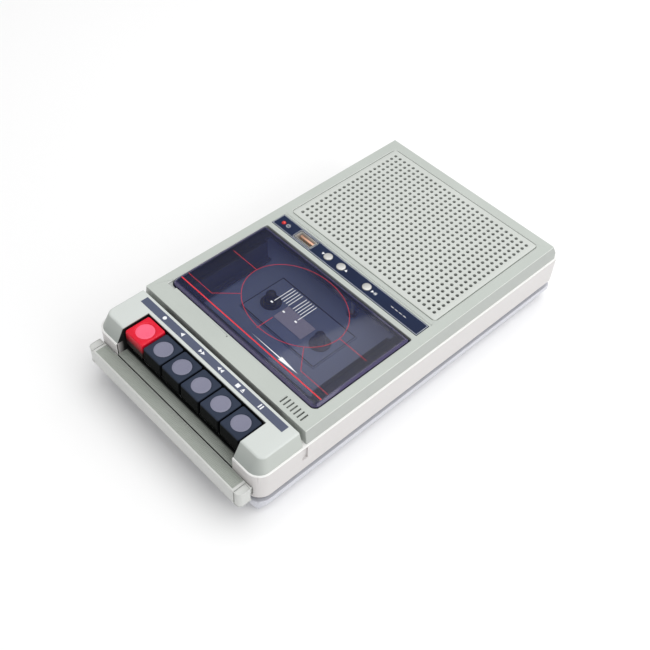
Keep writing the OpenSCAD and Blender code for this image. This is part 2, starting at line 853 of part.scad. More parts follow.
module key(i) {
    x = (i - (key_count - 1) / 2) * key_pitch;
    half = (key_pitch - key_gap) / 2;
    top = key_top + (i == 0 ? record_rise : 0);
    low = key_top - key_skirt;
    color(i == 0 ? red_colour : key_colour)
        difference() {
            union() {
                difference() {
                    block(x - half, x + half, key_front, key_rear, low, top);
                    block(x - half + 1.5, x + half - 1.5, key_front + 1.8, key_rear - 1.5, low - 1, top - 2.5);
                }
                block(x - 3, x + 3, key_front + 4, key_rear - 1, key_z + 3, top - 2);
                block(x - 3, x + 3, key_rear - 8, key_y, key_z - 2, key_z + 4);
                across(key_y, key_z, key_hub_r, x - key_hub_w / 2, x + key_hub_w / 2);
                block(x - 3, x + 3, key_y, key_y + 8.3, key_z - 4, key_z - 1);
            }
            across(key_y, key_z, key_shaft_r + run_gap, x - 20, x + 20);
            upright(x, (key_front + key_rear) / 2, key_dish_r, top - 0.5, top + 1);
        }
}

module key_shaft() {
    color(steel_colour)
        across(key_y, key_z, key_shaft_r, -recess_w / 2 - 4, recess_w / 2 + 4);
}

module key_return_springs() {
    wire = 0.35;
    turns = 5;
    step = 1.9 * wire;
    mean_r = key_shaft_r + 0.3 + wire;
    color(steel_colour)
        for (i = [0 : key_count - 1])
            translate([(i - key_count / 2 + 1) * key_pitch - step * (turns - 1) / 2, key_y, key_z]) {
                rotate([0, 90, 0])
                    rotate_extrude()
                        for (k = [0 : turns - 1])
                            translate([mean_r, k * step])
                                circle(r = wire, $fn = 16);
                translate([0, mean_r, -11.4])
                    cylinder(h = 11.4, r = wire * 0.9, $fn = 16);
            }
}

module key_frame() {
    base_z = key_z - 13;
    x = recess_w / 2 + 1.3;
    color(steel_colour)
        difference() {
            union() {
                block(-x - 1.5, x + 1.5, key_y - 12, key_y + 9, base_z, base_z + 1.5);
                both_sides()
                    block(x, x + 1.5, key_y - 5, key_y + 5, base_z, key_z + 4.5);
            }
            across(key_y, key_z, key_shaft_r + 0.03, -body_w, body_w);
        }
}

module door_lens() {
    color([0.13, 0.15, 0.25, 0.75])
        intersection() {
            two_profiles(
                [[-lens_half, lens_under], [lens_half, lens_under], [lens_half, lens_top - lens_bevel],
                    [lens_half - lens_bevel, lens_top], [-lens_half + lens_bevel, lens_top],
                    [-lens_half, lens_top - lens_bevel]],
                [[lens_y0, lens_under], [lens_y1, lens_under], [lens_y1, lens_top - lens_bevel],
                    [lens_y1 - lens_bevel, lens_top], [lens_y0 + lens_bevel, lens_top],
                    [lens_y0, lens_top - lens_bevel]]);
            slab(lens_half, lens_y0, lens_y1, lens_under - 1, lens_top + 1, lens_corner, 1.5);
        }
}

module cassette_holder() {
    out = lens_half - 0.1;
    ring_low = lens_under - 1.3;
    rail_y0 = spindle_y - 34.5;
    rail_y1 = hinge_y - 3.2;
    color(black_colour)
        difference() {
            union() {
                difference() {
                    slab(out, lens_y0 + 0.3, lens_y1 - 0.3, ring_low, lens_under, lens_corner, 1);
                    block(-holder_rail - 2, holder_rail + 2, lens_y0 + 4.5, lens_y1 - 2.8,
                        ring_low - 1, lens_under + 1);
                }
                both_sides() {
                    block(holder_rail, holder_rail + 1.5, rail_y0, rail_y1, well_floor + 1.1, lens_under);
                    block(holder_rail - 3.7, holder_rail + 1.5, rail_y0, rail_y1,
                        well_floor + 1.1, well_floor + 2.3);
                    block(holder_rail + 0.5, holder_rail + 4, rail_y0, rail_y1, ring_low - 1, lens_under);
                    block(out - 2.8, out, hinge_y - 2.5, hinge_y + 2.5, hinge_z - 2.5, lens_under);
                }
            }
            both_sides()
                across(hinge_y, hinge_z, hinge_pin_r + run_gap, out - 4, out + 1);
        }
}

module door_hinge_pins() {
    color(steel_colour)
        both_sides()
            across(hinge_y, hinge_z, hinge_pin_r, lens_half - 3.2, window_half + 3.8);
}

module main_board() {
    color(board_colour)
        block(-66 - side_shift, 26, volume_y - 4, volume_y + 60, main_board_z, main_board_z + 1.6);
}

module board_components() {
    top = main_board_z + 1.6;
    color(black_colour) {
        block(-36, -16, volume_y + 4, volume_y + 12, top, top + 4);
        block(-44, -30, volume_y + 30, volume_y + 34, top, top + 9);
    }
    color(navy_colour)
        for (p = [[-6, 4, 4, 10], [8, 6, 5, 11], [18, 20, 4, 9], [-22, 24, 3, 8], [4, 44, 4, 9]])
            upright(p[0], volume_y + p[1], p[2], top, top + p[3]);
}

module transformer() {
    color(steel_colour)
        block(transformer_x - 18, transformer_x + 18, transformer_y - 9, transformer_y + 9, floor_z, floor_z + 27.5);
    color(brass_colour)
        both_sides_y(transformer_y)
            block(transformer_x - 11, transformer_x + 11, 9, 15, floor_z + 5, floor_z + 22.5);
}

module both_sides_y(y) {
    translate([0, y, 0]) {
        children();
        mirror([0, 1, 0]) children();
    }
}

module mains_inlet() {
    back = y1 - 16;
    color(black_colour)
        difference() {
            block(inlet_x - 8.8, inlet_x + 8.8, back, y1 - 0.4, inlet_z - 5.3, inlet_z + 5.3);
            block(inlet_x - 7.6, inlet_x + 7.6, back + 2.5, y1 + 1, inlet_z - 4, inlet_z + 4);
        }
    color(brass_colour)
        for (x = [inlet_x - 4, inlet_x + 4])
            translate([x, back + 2.5, inlet_z])
                rotate([-90, 0, 0])
                    cylinder(h = 7, r = 1.2);
}

module jack(y) {
    half = body_w / 2;
    color(black_colour)
        difference() {
            union() {
                block(-half + wall + 0.2, -half + wall + 12, y - 4.5, y + 4.5, jack_z - 4.5, jack_z + 4.5);
                across(y, jack_z, 3, -half + 0.2, -half + wall + 1);
            }
            across(y, jack_z, jack_r, -half - 1, -half + wall + 10);
        }
}

module thumb_wheel(y) {
    color(black_colour)
        difference() {
            upright(wheel_x, y, wheel_r, wheel_z, wheel_z + wheel_t);
            upright(wheel_x, y, 2.5 + run_gap, wheel_z - 1, wheel_z + wheel_t + 1);
        }
}

module control_pots() {
    top = main_board_z + 1.6;
    color(steel_colour)
        for (y = [volume_y, tone_y]) {
            block(wheel_x - 4.2, wheel_x + 5, y - 5, y + 5, top, wheel_z - 0.4);
            upright(wheel_x, y, 2.5, top, wheel_z + wheel_t - 0.4);
        }
}

module microphone_capsule() {
    color(steel_colour)
        upright(deck_half - 15.5, deck_y + 6, 3, deck_under - 6, deck_under - 0.4);
}

module battery_door() {
    door_half = bay_w / 2 + 2;
    color(band_colour)
        difference() {
            union() {
                block(-door_half, door_half, bay_y0 - 1.5, y1 - base_taper + 0.7, foot_h, foot_h + door_t);
                for (x = [-20, 20])
                    block(x - 3, x + 3, bay_y0 + 1, bay_y0 + 3, foot_h + door_t, foot_h + door_t + 1.2);
            }
            for (k = [0 : 3])
                block(-9, 9, bay_y1 - 12 + 3 * k, bay_y1 - 10.6 + 3 * k, foot_h - 1, foot_h + 0.6);
        }
}

module battery_contacts() {
    color(steel_colour)
        both_sides()
            for (y = [bay_y0 + 7.5, bay_y0 + 22.5])
                block(bay_w / 2 - 0.6, bay_w / 2, y - 4.5, y + 4.5, floor_z + 1.5, bay_top - 2);
}

module rubber_feet() {
    color(black_colour)
        both_sides()
            for (f = feet)
                upright(f[0] + side_shift, f[1], foot_r, 0, foot_h);
}

module case_screws() {
    color(steel_colour)
        both_sides()
            for (s = screws) {
                upright(s[0] + side_shift, s[1], screw_r, foot_h + 2, rim_z - 7);
                upright(s[0] + side_shift, s[1], 2.7, foot_h + 1.8, foot_h + 4);
            }
}

module handle_bar() {
    half = handle_w / 2 - handle_cap_w;
    color(band_colour)
        difference() {
            block(-half, half, handle_y0, handle_y1, handle_z - handle_h, handle_z);
            block(-half - 1, half + 1, handle_y0 + 2, handle_y1 + 1, handle_z - handle_h - 1, handle_z - 2);
        }
}

module handle_arms() {
    half = handle_w / 2;
    color(band_colour)
        both_sides() {
            difference() {
                block(half - handle_cap_w, half, handle_y0, handle_y1, handle_z - handle_h, handle_z);
                difference() {
                    block(half - 3, half + 1, handle_y0 - 1, handle_y0 + 3, 0, deck_z);
                    upright(half - 3, handle_y0 + 3, 3, -1, deck_z + 1);
                }
            }
            block(arm_x - arm_w / 2, arm_x + arm_w / 2, handle_y1 - 0.5, y0 + handle_arm_l,
                arm_z, arm_z + arm_h);
            block(arm_x - arm_w / 2 - 1.5, arm_x + arm_w / 2, y0 + handle_arm_l - 5, y0 + handle_arm_l,
                arm_z, arm_z + arm_h);
        }
}

bottom_shell();
upper_shell();
key_housing();
key_label_strip();
speaker_grille();
speaker_cloth();
speaker_baffle();
speaker_basket();
speaker_cone();
speaker_magnet();
control_strip();
power_led();
usb_socket();
control_board();
track_button(button_x[0]);  // track_down_button
track_button(button_x[1]);  // track_up_button
track_button(button_x[2]);  // play_pause_button
cassette_well();
chassis_plate();
spindle(-spindle_x);  // supply_spindle
spindle(spindle_x);  // takeup_spindle
flywheel();
capstan_bearing();
drive_motor();
motor_pulley();
drive_belt();
head_plate();
record_play_head();
erase_head();
pinch_arm();
pinch_roller();
key(0);  // record_key
key(1);  // play_key
key(2);  // rewind_key
key(3);  // fast_forward_key
key(4);  // stop_key
key(5);  // pause_key
key_shaft();
key_return_springs();
key_frame();
door_lens();
cassette_holder();
door_hinge_pins();
main_board();
board_components();
transformer();
mains_inlet();
jack(mic_jack_y);  // microphone_jack
jack(ear_jack_y);  // earphone_jack
thumb_wheel(volume_y);  // volume_wheel
thumb_wheel(tone_y);  // tone_wheel
control_pots();
microphone_capsule();
battery_door();
battery_contacts();
rubber_feet();
case_screws();
handle_bar();
handle_arms();
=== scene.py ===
import json
import math

import bmesh
import bpy
import numpy as np
from mathutils import Matrix, Vector


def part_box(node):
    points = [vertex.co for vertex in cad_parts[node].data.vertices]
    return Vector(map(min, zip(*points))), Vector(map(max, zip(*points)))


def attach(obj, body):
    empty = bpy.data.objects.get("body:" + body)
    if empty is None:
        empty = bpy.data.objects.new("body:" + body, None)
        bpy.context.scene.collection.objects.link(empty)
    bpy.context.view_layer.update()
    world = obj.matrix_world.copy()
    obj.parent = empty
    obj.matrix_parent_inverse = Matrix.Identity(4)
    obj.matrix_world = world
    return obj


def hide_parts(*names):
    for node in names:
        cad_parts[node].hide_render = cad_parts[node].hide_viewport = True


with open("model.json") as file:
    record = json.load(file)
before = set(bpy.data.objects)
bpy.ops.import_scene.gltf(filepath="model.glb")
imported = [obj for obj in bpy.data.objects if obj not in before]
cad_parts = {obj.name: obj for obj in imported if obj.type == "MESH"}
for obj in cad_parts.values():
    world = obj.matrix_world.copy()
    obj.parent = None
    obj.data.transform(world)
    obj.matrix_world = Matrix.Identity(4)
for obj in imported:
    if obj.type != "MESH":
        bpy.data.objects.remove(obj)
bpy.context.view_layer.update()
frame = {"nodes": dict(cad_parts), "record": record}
mm = 0.001
tau = 2 * math.pi
bodyOfNode = {n: b for b, names in frame["record"]["behaviour"]["bodies"].items() for n in names}
print("frame loaded:", len(frame["nodes"]), "nodes")


# each of the shape helpers returns (points, faces) as an array and a list

def skin(rows, closedRound=True, capStart=False, capEnd=False):
    # a grid of points, row after row, joined by quads; a cap is one face over the first or last row
    rows = np.asarray(rows, float)
    count, around = rows.shape[:2]
    i, j = np.meshgrid(np.arange(count - 1), np.arange(around if closedRound else around - 1), indexing="ij")
    k = (j + 1) % around
    faces = np.stack([i * around + j, i * around + k, (i + 1) * around + k, (i + 1) * around + j], -1)
    faces = faces.reshape(-1, 4).tolist()
    if capStart:
        faces.append(list(range(around))[::-1])
    if capEnd:
        faces.append([(count - 1) * around + a for a in range(around)])
    return rows.reshape(-1, 3), faces


def rayReach(halfX, halfY, radius, angles):
    # how far a ray from the middle runs to a rounded rectangle: the nearer wall, or the corner's arc past it
    c, s = np.abs(np.cos(angles)), np.abs(np.sin(angles))
    wall = np.minimum(halfX / np.maximum(c, 1e-9), halfY / np.maximum(s, 1e-9))
    radius = np.broadcast_to(np.minimum(radius, min(halfX, halfY)), angles.shape)
    cx, cy = halfX - radius, halfY - radius
    inCorner = (wall * c > cx) & (wall * s > cy)
    offset = c * cy - s * cx
    arc = c * cx + s * cy + np.sqrt(np.maximum(radius ** 2 - offset ** 2, 0))
    return np.where(inCorner, arc, wall)


def evenAngles(halfX, halfY, radius, count=96):
    # ray angles that are dense in the corners: even steps along the outline, with extra points on each arc
    perCorner = max(count // 8, 3)
    arcs, walls = [], []
    for k in range(4):
        signX, signY = (1, -1, -1, 1)[k], (1, 1, -1, -1)[k]
        turn = np.linspace(k * tau / 4, (k + 1) * tau / 4, perCorner)
        x = signX * (halfX - radius) + radius * np.cos(turn)
        y = signY * (halfY - radius) + radius * np.sin(turn)
        arcs.append(np.arctan2(y, x))
    for along in np.linspace(-0.9, 0.9, max(count // 16, 3)):
        walls += [math.atan2(along * (halfY - radius), halfX), math.atan2(halfY, along * (halfX - radius)),
                  math.atan2(along * (halfY - radius), -halfX), math.atan2(-halfY, along * (halfX - radius))]
    angles = np.concatenate(arcs + [np.array(walls)]) % tau
    return np.unique(np.round(angles, 5))


def ring(centre, reach, angles, z):
    # one level loop: the middle plus the reach along each angle
    return np.stack([centre[0] + reach * np.cos(angles), centre[1] + reach * np.sin(angles),
                     np.full(angles.shape, z) if np.isscalar(z) else z], -1)


def middle(low, high):
    return (low[0] + high[0]) / 2, (low[1] + high[1]) / 2


def boxRing(low, high, inset, radius, angles, z):
    # one level loop round a box's plan, pulled in by the inset
    reach = rayReach((high[0] - low[0]) / 2 - inset, (high[1] - low[1]) / 2 - inset, radius, angles)
    return ring(middle(low, high), reach, angles, z)


def roundedBox(low, high, radius=0.6 * mm, edge=0.3 * mm, steps=3):
    # a box with round upright corners and a quarter-round edge at the top and the bottom
    halfX, halfY = (high[0] - low[0]) / 2, (high[1] - low[1]) / 2
    angles = evenAngles(halfX, halfY, min(radius, halfX, halfY), 40)
    rows = []
    for z, way in ((low[2], -1), (high[2], 1)):
        for turn in np.linspace(0, tau / 4, steps + 1)[::-way]:
            inset = edge * (1 - math.cos(turn))
            rows.append(boxRing(low, high, inset, max(radius - inset, edge / 4), angles,
                                z - way * edge * (1 - math.sin(turn))))
    flat = [boxRing(low, high, 1.4 * edge, max(radius - 1.4 * edge, edge / 4), angles, z) for z in (low[2], high[2])]
    return skin(flat[:1] + rows + flat[1:], capStart=True, capEnd=True)


def lathe(centre, profile, count=48):
    # a profile of (radius, height) turned about an upright axis
    angles = np.arange(count) * tau / count
    rows = [ring(centre, np.full(count, max(r, 1e-7)), angles, z) for r, z in profile]
    return skin(rows, capStart=True, capEnd=True)


def ribbon(path, width, height, closedPath=False):
    # a flat bar carried along a level path: half the width to each side of it, the height above it
    path = np.asarray(path, float)
    if closedPath:
        ahead, behind = np.roll(path, -1, 0), np.roll(path, 1, 0)
    else:
        ahead, behind = np.vstack([path[1:], path[-1:]]), np.vstack([path[:1], path[:-1]])
    along = ahead - behind
    along /= np.linalg.norm(along, axis=1)[:, None]
    side = np.stack([-along[:, 1], along[:, 0], 0 * along[:, 0]], -1) * width / 2
    up = np.array([0, 0, height])
    rows = np.stack([path - side, path + side, path + side + up, path - side + up], 1)
    if closedPath:
        rows = np.vstack([rows, rows[:1]])
    return skin(rows, capStart=not closedPath, capEnd=not closedPath)


def plate(outline, low, high):
    # a flat shape with upright sides
    outline = np.asarray(outline, float)
    rows = [np.column_stack([outline, np.full(len(outline), z)]) for z in (low, high)]
    return skin(rows, capStart=True, capEnd=True)


def circlePoints(x, y, radius, count=24):
    turn = np.arange(count) * tau / count
    return np.stack([x + radius * np.cos(turn), y + radius * np.sin(turn)], -1)


def turned(part, matrix):
    # the same part after a rotation and a shift
    points, faces = part
    m = np.array(matrix)
    return points @ m[:3, :3].T + m[:3, 3], faces


def makePiece(name, parts, finish, node=None, body=None, hides=(), smooth=40, merge=False):
    # joins parts into one mesh in the row frame, turns its faces outwards and lets it ride on its body
    points, faces, offset = [], [], 0
    for p, f in parts:
        points.append(p)
        faces += [[a + offset for a in face] for face in f]
        offset += len(p)
    mesh = bpy.data.meshes.new(name)
    mesh.from_pydata(np.vstack(points).tolist(), [], faces)
    obj = bpy.data.objects.new(name, mesh)
    bpy.context.scene.collection.objects.link(obj)
    bm = bmesh.new()
    bm.from_mesh(mesh)
    if merge:
        bmesh.ops.remove_doubles(bm, verts=bm.verts, dist=2e-6)
    bmesh.ops.recalc_face_normals(bm, faces=bm.faces)
    bm.to_mesh(mesh)
    bm.free()
    return settle(obj, finish, node, body, hides, smooth)


def settle(obj, finish, node, body, hides, smooth):
    mesh = obj.data
    mesh.polygons.foreach_set("use_smooth", [True] * len(mesh.polygons))
    if smooth:
        mesh.set_sharp_from_angle(angle=math.radians(smooth))
    mesh.materials.clear()
    mesh.materials.append(finish)
    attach(obj, body or bodyOfNode[node])
    if hides:
        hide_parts(*hides)
    return obj


def markLongRuns(bm, least, angle, depth):
    # gives bevel weight to the sharp edges that join up into a run longer than least and lie within depth of the
    # piece's own box, so small holes and the inside stay crisp
    layer = bm.edges.layers.float.new("bevel_weight_edge")
    points = np.array([v.co for v in bm.verts])
    near = np.minimum(points - points.min(0), points.max(0) - points).min(1) < depth
    bm.verts.index_update()
    sharp = {e for e in bm.edges if len(e.link_faces) == 2 and e.calc_face_angle(0) > angle
             and near[e.verts[0].index] and near[e.verts[1].index]}
    while sharp:
        run, front = [], [sharp.pop()]
        while front:
            edge = front.pop()
            run.append(edge)
            joined = {other for v in edge.verts for other in v.link_edges} & sharp
            sharp -= joined
            front += joined
        if sum(e.calc_length() for e in run) > least:
            for edge in run:
                edge[layer] = 1.0


def softened(name, node, finish, width, segments, least, depth):
    # a moulded or pressed piece: the CAD node's own shape with its edges rounded over
    mesh = frame["nodes"][node].data.copy()
    obj = bpy.data.objects.new(name, mesh)
    bpy.context.scene.collection.objects.link(obj)
    bm = bmesh.new()
    bm.from_mesh(mesh)
    bmesh.ops.remove_doubles(bm, verts=bm.verts, dist=1e-6)
    bmesh.ops.dissolve_limit(bm, angle_limit=math.radians(0.4), verts=bm.verts, edges=bm.edges)
    markLongRuns(bm, least, math.radians(30), depth)
    bm.to_mesh(mesh)
    bm.free()
    bevel = obj.modifiers.new("edges", "BEVEL")
    bevel.width = width
    bevel.segments = segments
    bevel.limit_method = "WEIGHT"
    bevel.use_clamp_overlap = False
    bevel.harden_normals = True
    bevel.miter_outer = "MITER_ARC"
    return settle(obj, finish, node, None, (node,), 30)


def useNode(node, finish):
    # a CAD node shown as it is, with its own finish
    obj = frame["nodes"][node]
    obj.data.materials.clear()
    obj.data.materials.append(finish)


class Wire:
    # a value in a material: arithmetic on it adds Math nodes
    def __init__(self, paint, socket):
        self.paint, self.socket = paint, socket

    def __add__(self, other):
        return self.paint.maths("ADD", self, other)

    def __sub__(self, other):
        return self.paint.maths("SUBTRACT", self, other)

    def __rsub__(self, other):
        return self.paint.maths("SUBTRACT", other, self)

    def __mul__(self, other):
        return self.paint.maths("MULTIPLY", self, other)

    def __truediv__(self, other):
        return self.paint.maths("DIVIDE", self, other)

    def __abs__(self):
        return self.paint.maths("ABSOLUTE", self)

    __radd__ = __add__
    __rmul__ = __mul__


class Paint:
    # one material; node() adds any node, maths() and mix() the sums and blends
    def __init__(self, name):
        self.material = bpy.data.materials.new(name)
        self.material.use_nodes = True
        self.tree = self.material.node_tree
        self.shader = next(n for n in self.tree.nodes if n.type == "BSDF_PRINCIPLED")
        self.place = self.node("ShaderNodeTexCoord", output="Object")

    def node(self, kind, settings=None, inputs=None, output=0):
        n = self.tree.nodes.new(kind)
        for key, value in (settings or {}).items():
            if key == "stops":
                ramp = n.color_ramp
                while len(ramp.elements) < len(value):
                    ramp.elements.new(0.5)
                for element, (at, colour) in zip(ramp.elements, value):
                    element.position, element.color = at, colour
            else:
                setattr(n, key, value)
        for key, value in (inputs or {}).items():
            self.feed(n.inputs[key], value)
        return Wire(self, n.outputs[output])

    def feed(self, socket, value):
        if isinstance(value, Wire):
            self.tree.links.new(value.socket, socket)
        else:
            socket.default_value = value

    def maths(self, operation, a, b=None, clamp=False):
        inputs = {0: a} if b is None else {0: a, 1: b}
        return self.node("ShaderNodeMath", {"operation": operation, "use_clamp": clamp}, inputs)

    def mix(self, factor, a, b):
        return self.node("ShaderNodeMix", {"data_type": "RGBA"}, {0: factor, 6: a, 7: b}, output=2)

    def noise(self, scale, detail=2.0, rough=0.5, stretch=None):
        vector = self.place
        if stretch:
            vector = self.node("ShaderNodeMapping", None, {"Vector": self.place, "Scale": stretch})
        return self.node("ShaderNodeTexNoise", None,
                         {"Vector": vector, "Scale": scale, "Detail": detail, "Roughness": rough})

    def axes(self):
        split = self.node("ShaderNodeSeparateXYZ", None, {"Vector": self.place})
        n = split.socket.node
        return [Wire(self, n.outputs[k]) for k in range(3)]

    def step(self, value, low, high):
        # 0 below low, 1 above high, straight between
        return self.node("ShaderNodeMapRange", {"clamp": True},
                         {"Value": value, "From Min": low, "From Max": high})

    def bump(self, height, strength, distance, normal=None):
        inputs = {"Height": height, "Strength": strength, "Distance": distance}
        if normal:
            inputs["Normal"] = normal
        return self.node("ShaderNodeBump", None, inputs)

    def finish(self, **sockets):
        names = {"colour": "Base Color", "rough": "Roughness", "metal": "Metallic", "normal": "Normal",
                 "alpha": "Alpha", "coat": "Coat Weight", "coatRough": "Coat Roughness",
                 "specular": "Specular IOR Level", "glow": "Emission Color", "glowPower": "Emission Strength",
                 "sheen": "Sheen Weight"}
        for key, value in sockets.items():
            self.feed(self.shader.inputs[names[key]], value)
        return self.material


def rgb(r, g, b):
    # a screen colour from 0 to 255 as linear light
    return tuple(((c / 255 + 0.055) / 1.055) ** 2.4 if c > 10 else c / 255 / 12.92 for c in (r, g, b)) + (1.0,)


def mouldedPlastic(name, colour, shade, rough, grain=0.25, grainScale=5200, coat=0.0, flake=0.0,
                   blend=None, specular=0.5):
    # fine spark-eroded grain, slow tone drift, handling smudges and thin scuffs
    p = Paint(name)
    drift = p.noise(28, 3)
    smudge = p.step(p.noise(75, 4, 0.62), 0.45, 0.72)
    scuff = p.step(p.noise(900, 3, 0.6, (1, 0.06, 1)), 0.66, 0.76)
    grainHeight = p.noise(grainScale, 2, 0.55)
    tone = p.step(drift, 0.3, 0.7) * 0.5 + p.step(grainHeight, 0.35, 0.65) * 0.5
    base = p.mix(tone, shade, colour)
    if flake:
        spark = p.step(p.noise(9000, 1, 0.4), 0.6, 0.72)
        base = p.mix(spark * flake, base, (1.0, 1.0, 1.0, 1.0))
    if blend:
        base = blend(p, base)
    roughness = rough + smudge * 0.07 - scuff * 0.06 + grainHeight * 0.06 - 0.03
    return p.finish(colour=base, rough=roughness, normal=p.bump(grainHeight + scuff * 0.15, grain, 0.08 * mm),
                    coat=coat, coatRough=0.18, specular=specular)


def brushedMetal(name, colour, rough, along=(1, 0.02, 1), metal=1.0):
    # drawn lines along one way, with dull patches
    p = Paint(name)
    lines = p.noise(4200, 3, 0.6, along)
    patch = p.step(p.noise(120, 4, 0.6), 0.4, 0.7)
    base = p.mix(lines * 0.5 + patch * 0.4, tuple(c * 0.62 for c in colour[:3]) + (1.0,), colour)
    return p.finish(colour=base, metal=metal, rough=rough + patch * 0.14 + lines * 0.08,
                    normal=p.bump(lines, 0.12, 0.05 * mm))


def bandBelow(height, top, front, halfWidth):
    # cooler silver paint below a height, a painted highlight line at that height, painted shade on the wall above it
    # that ends in a painted highlight along its top edge, and painted shade on the front edge above the handle and
    # in the notch round the keys
    def blend(p, base):
        x, y, z = p.axes()
        above = p.step(z, height + 0.05 * mm, height + 0.25 * mm)
        # painted shade: the wall above the rim darker than the deck
        base = p.mix(p.step(z, top - 0.6 * mm, top - 0.45 * mm), rgb(174, 178, 174), base)
        # painted highlight: a pale line along the top edge of the wall, over the bevel
        paintedEdgeHighlight = p.step(z, top - 0.5 * mm, top - 0.4 * mm) * (1 - p.step(z, top - 0.12 * mm, top - 0.04 * mm))
        base = p.mix(paintedEdgeHighlight * 0.8, base, rgb(226, 229, 225))
        # painted highlight: the pale line along the rim
        onLine = p.step(z, height - 0.7 * mm, height - 0.3 * mm)
        banded = p.mix(above, p.mix(onLine, rgb(212, 209, 208), rgb(238, 238, 236)), base)
        # painted shade: near black on the front edge above the handle and on the notch walls round the keys
        inFront = (1 - p.step(y, front, front + 0.1 * mm)) * (1 - p.step(abs(x), halfWidth, halfWidth + 0.1 * mm))
        recess = (1 - p.step(abs(x), halfWidth + 0.2 * mm, halfWidth + 0.4 * mm)) * p.step(y, front, front + 4 * mm)
        recess *= 1 - p.step(y, front + 20 * mm, front + 21 * mm)
        recess *= 1 - p.step(z, height, height + 0.1 * mm)
        return p.mix(p.maths("MAXIMUM", inFront, recess), banded, rgb(24, 26, 26))
    return blend


def paintedSeamShade(low, high):
    # painted shade: a dull dark stripe between two heights, for the shadowed seam between the shells
    def blend(p, base):
        z = p.axes()[2]
        inside = p.step(z, low, low + 0.1 * mm) * (1 - p.step(z, high - 0.1 * mm, high))
        return p.mix(inside, base, rgb(66, 68, 74))
    return blend


def shadedSlopes(low, high, halfWidth):
    # painted shade: the moulding's sloped sides darker than its top, the front slope darker still, the notch walls
    # dark
    def blend(p, base):
        x, y, z = p.axes()
        frontOn = 1 - p.step(y, low[1] + 1 * mm, low[1] + 6.5 * mm)
        side = p.mix(frontOn, rgb(184, 189, 184), rgb(160, 166, 162))
        side = p.mix(1 - p.step(abs(x), halfWidth + 0.1 * mm, halfWidth + 0.3 * mm), side, rgb(26, 28, 29))
        return p.mix(p.step(z, high[2] - 0.9 * mm, high[2] - 0.35 * mm), side, base)
    return blend


def darkBehind(line):
    # the ledge falls into the shade of the keys behind a line
    def blend(p, base):
        return p.mix(p.step(p.axes()[1], line, line + 1.2 * mm), base, rgb(16, 18, 19))
    return blend


def darkSkirt(top, start, end, dark):
    # the sides of a key darken downwards, where less light gets in
    def blend(p, base):
        return p.mix(p.step(p.axes()[2], top - end, top - start), dark, base)
    return blend


keyTop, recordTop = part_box("play_key")[1].z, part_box("record_key")[1].z
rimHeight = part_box("key_housing")[0].z
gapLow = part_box("bottom_shell")[0].z + 9.1 * mm
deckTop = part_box("upper_shell")[1].z
housingLow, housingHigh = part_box("key_housing")
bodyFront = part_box("bottom_shell")[0].y
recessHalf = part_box("pause_key")[1].x + 1.3 * mm
finishes = {
    "case": mouldedPlastic("caseGrey", rgb(190, 196, 190), rgb(179, 185, 179), 0.46, 0.30, 3600, flake=0.10,
                           blend=bandBelow(rimHeight, deckTop, bodyFront + 0.9 * mm, recessHalf)),
    "housing": mouldedPlastic("housingGrey", rgb(210, 215, 212), rgb(200, 205, 201), 0.44, 0.30, 3600, flake=0.10,
                              blend=shadedSlopes(housingLow, housingHigh, recessHalf)),
    "band": mouldedPlastic("bandSilver", rgb(212, 213, 220), rgb(198, 199, 207), 0.36, 0.22, 4200, flake=0.16,
                           blend=paintedSeamShade(gapLow, gapLow + 8 * mm)),
    "handle": mouldedPlastic("handleSilver", rgb(212, 213, 210), rgb(196, 198, 195), 0.30, 0.14, 5200, flake=0.2),
    "grille": mouldedPlastic("grilleGrey", rgb(204, 208, 203), rgb(193, 197, 192), 0.42, 0.28, 3600, flake=0.10),
    "ledge": mouldedPlastic("ledgeGrey", rgb(166, 171, 164), rgb(148, 154, 146), 0.46, 0.26, 3600, flake=0.10,
                            blend=darkBehind(bodyFront + 5.4 * mm)),
    "keyBlue": mouldedPlastic("keyBlue", rgb(60, 68, 84), rgb(44, 51, 66), 0.36, 0.22, 4600,
                              blend=darkSkirt(keyTop, 0.2 * mm, 1.5 * mm, rgb(2, 3, 5)), specular=0.04),
    "discBlue": mouldedPlastic("discBlue", rgb(130, 130, 150), rgb(112, 113, 134), 0.42, 0.30, 3800),
    "keyRed": mouldedPlastic("keyRed", rgb(236, 30, 58), rgb(206, 14, 40), 0.32, 0.16, 4600, 0.2,
                             blend=darkSkirt(recordTop, 1.0 * mm, 7 * mm, rgb(24, 1, 2)), specular=0.15),
    "discRed": mouldedPlastic("discRed", rgb(250, 104, 134), rgb(238, 82, 114), 0.38, 0.24, 3800),
    "slate": mouldedPlastic("labelSlate", rgb(80, 88, 112), rgb(64, 72, 95), 0.4, 0.15, 6000),
    "black": mouldedPlastic("blackPlastic", rgb(30, 31, 36), rgb(20, 21, 25), 0.3, 0.14, 4200),
    "wellFloor": mouldedPlastic("wellFloor", rgb(124, 136, 172), rgb(106, 118, 154), 0.5, 0.10, 5200),
    "wellPad": mouldedPlastic("wellPad", rgb(196, 190, 214), rgb(180, 174, 199), 0.45, 0.10, 5200),
    "rubber": mouldedPlastic("rubberBlack", rgb(34, 34, 34), rgb(22, 22, 23), 0.72, 0.5, 2600),
    "board": mouldedPlastic("boardGreen", rgb(38, 104, 66), rgb(28, 84, 54), 0.35, 0.12, 5200, 0.2),
    "paper": mouldedPlastic("conePaper", rgb(48, 47, 45), rgb(34, 33, 32), 0.85, 0.7, 1800),
    "steel": brushedMetal("steelPlate", rgb(196, 198, 202), 0.28),
    "chrome": brushedMetal("silverButton", rgb(222, 222, 218), 0.3, (1, 1, 1), 0.6),
    "bronze": brushedMetal("bronzePart", rgb(196, 160, 92), 0.26),
    "gold": brushedMetal("contactGold", rgb(250, 196, 166), 0.3, metal=0.5),
}


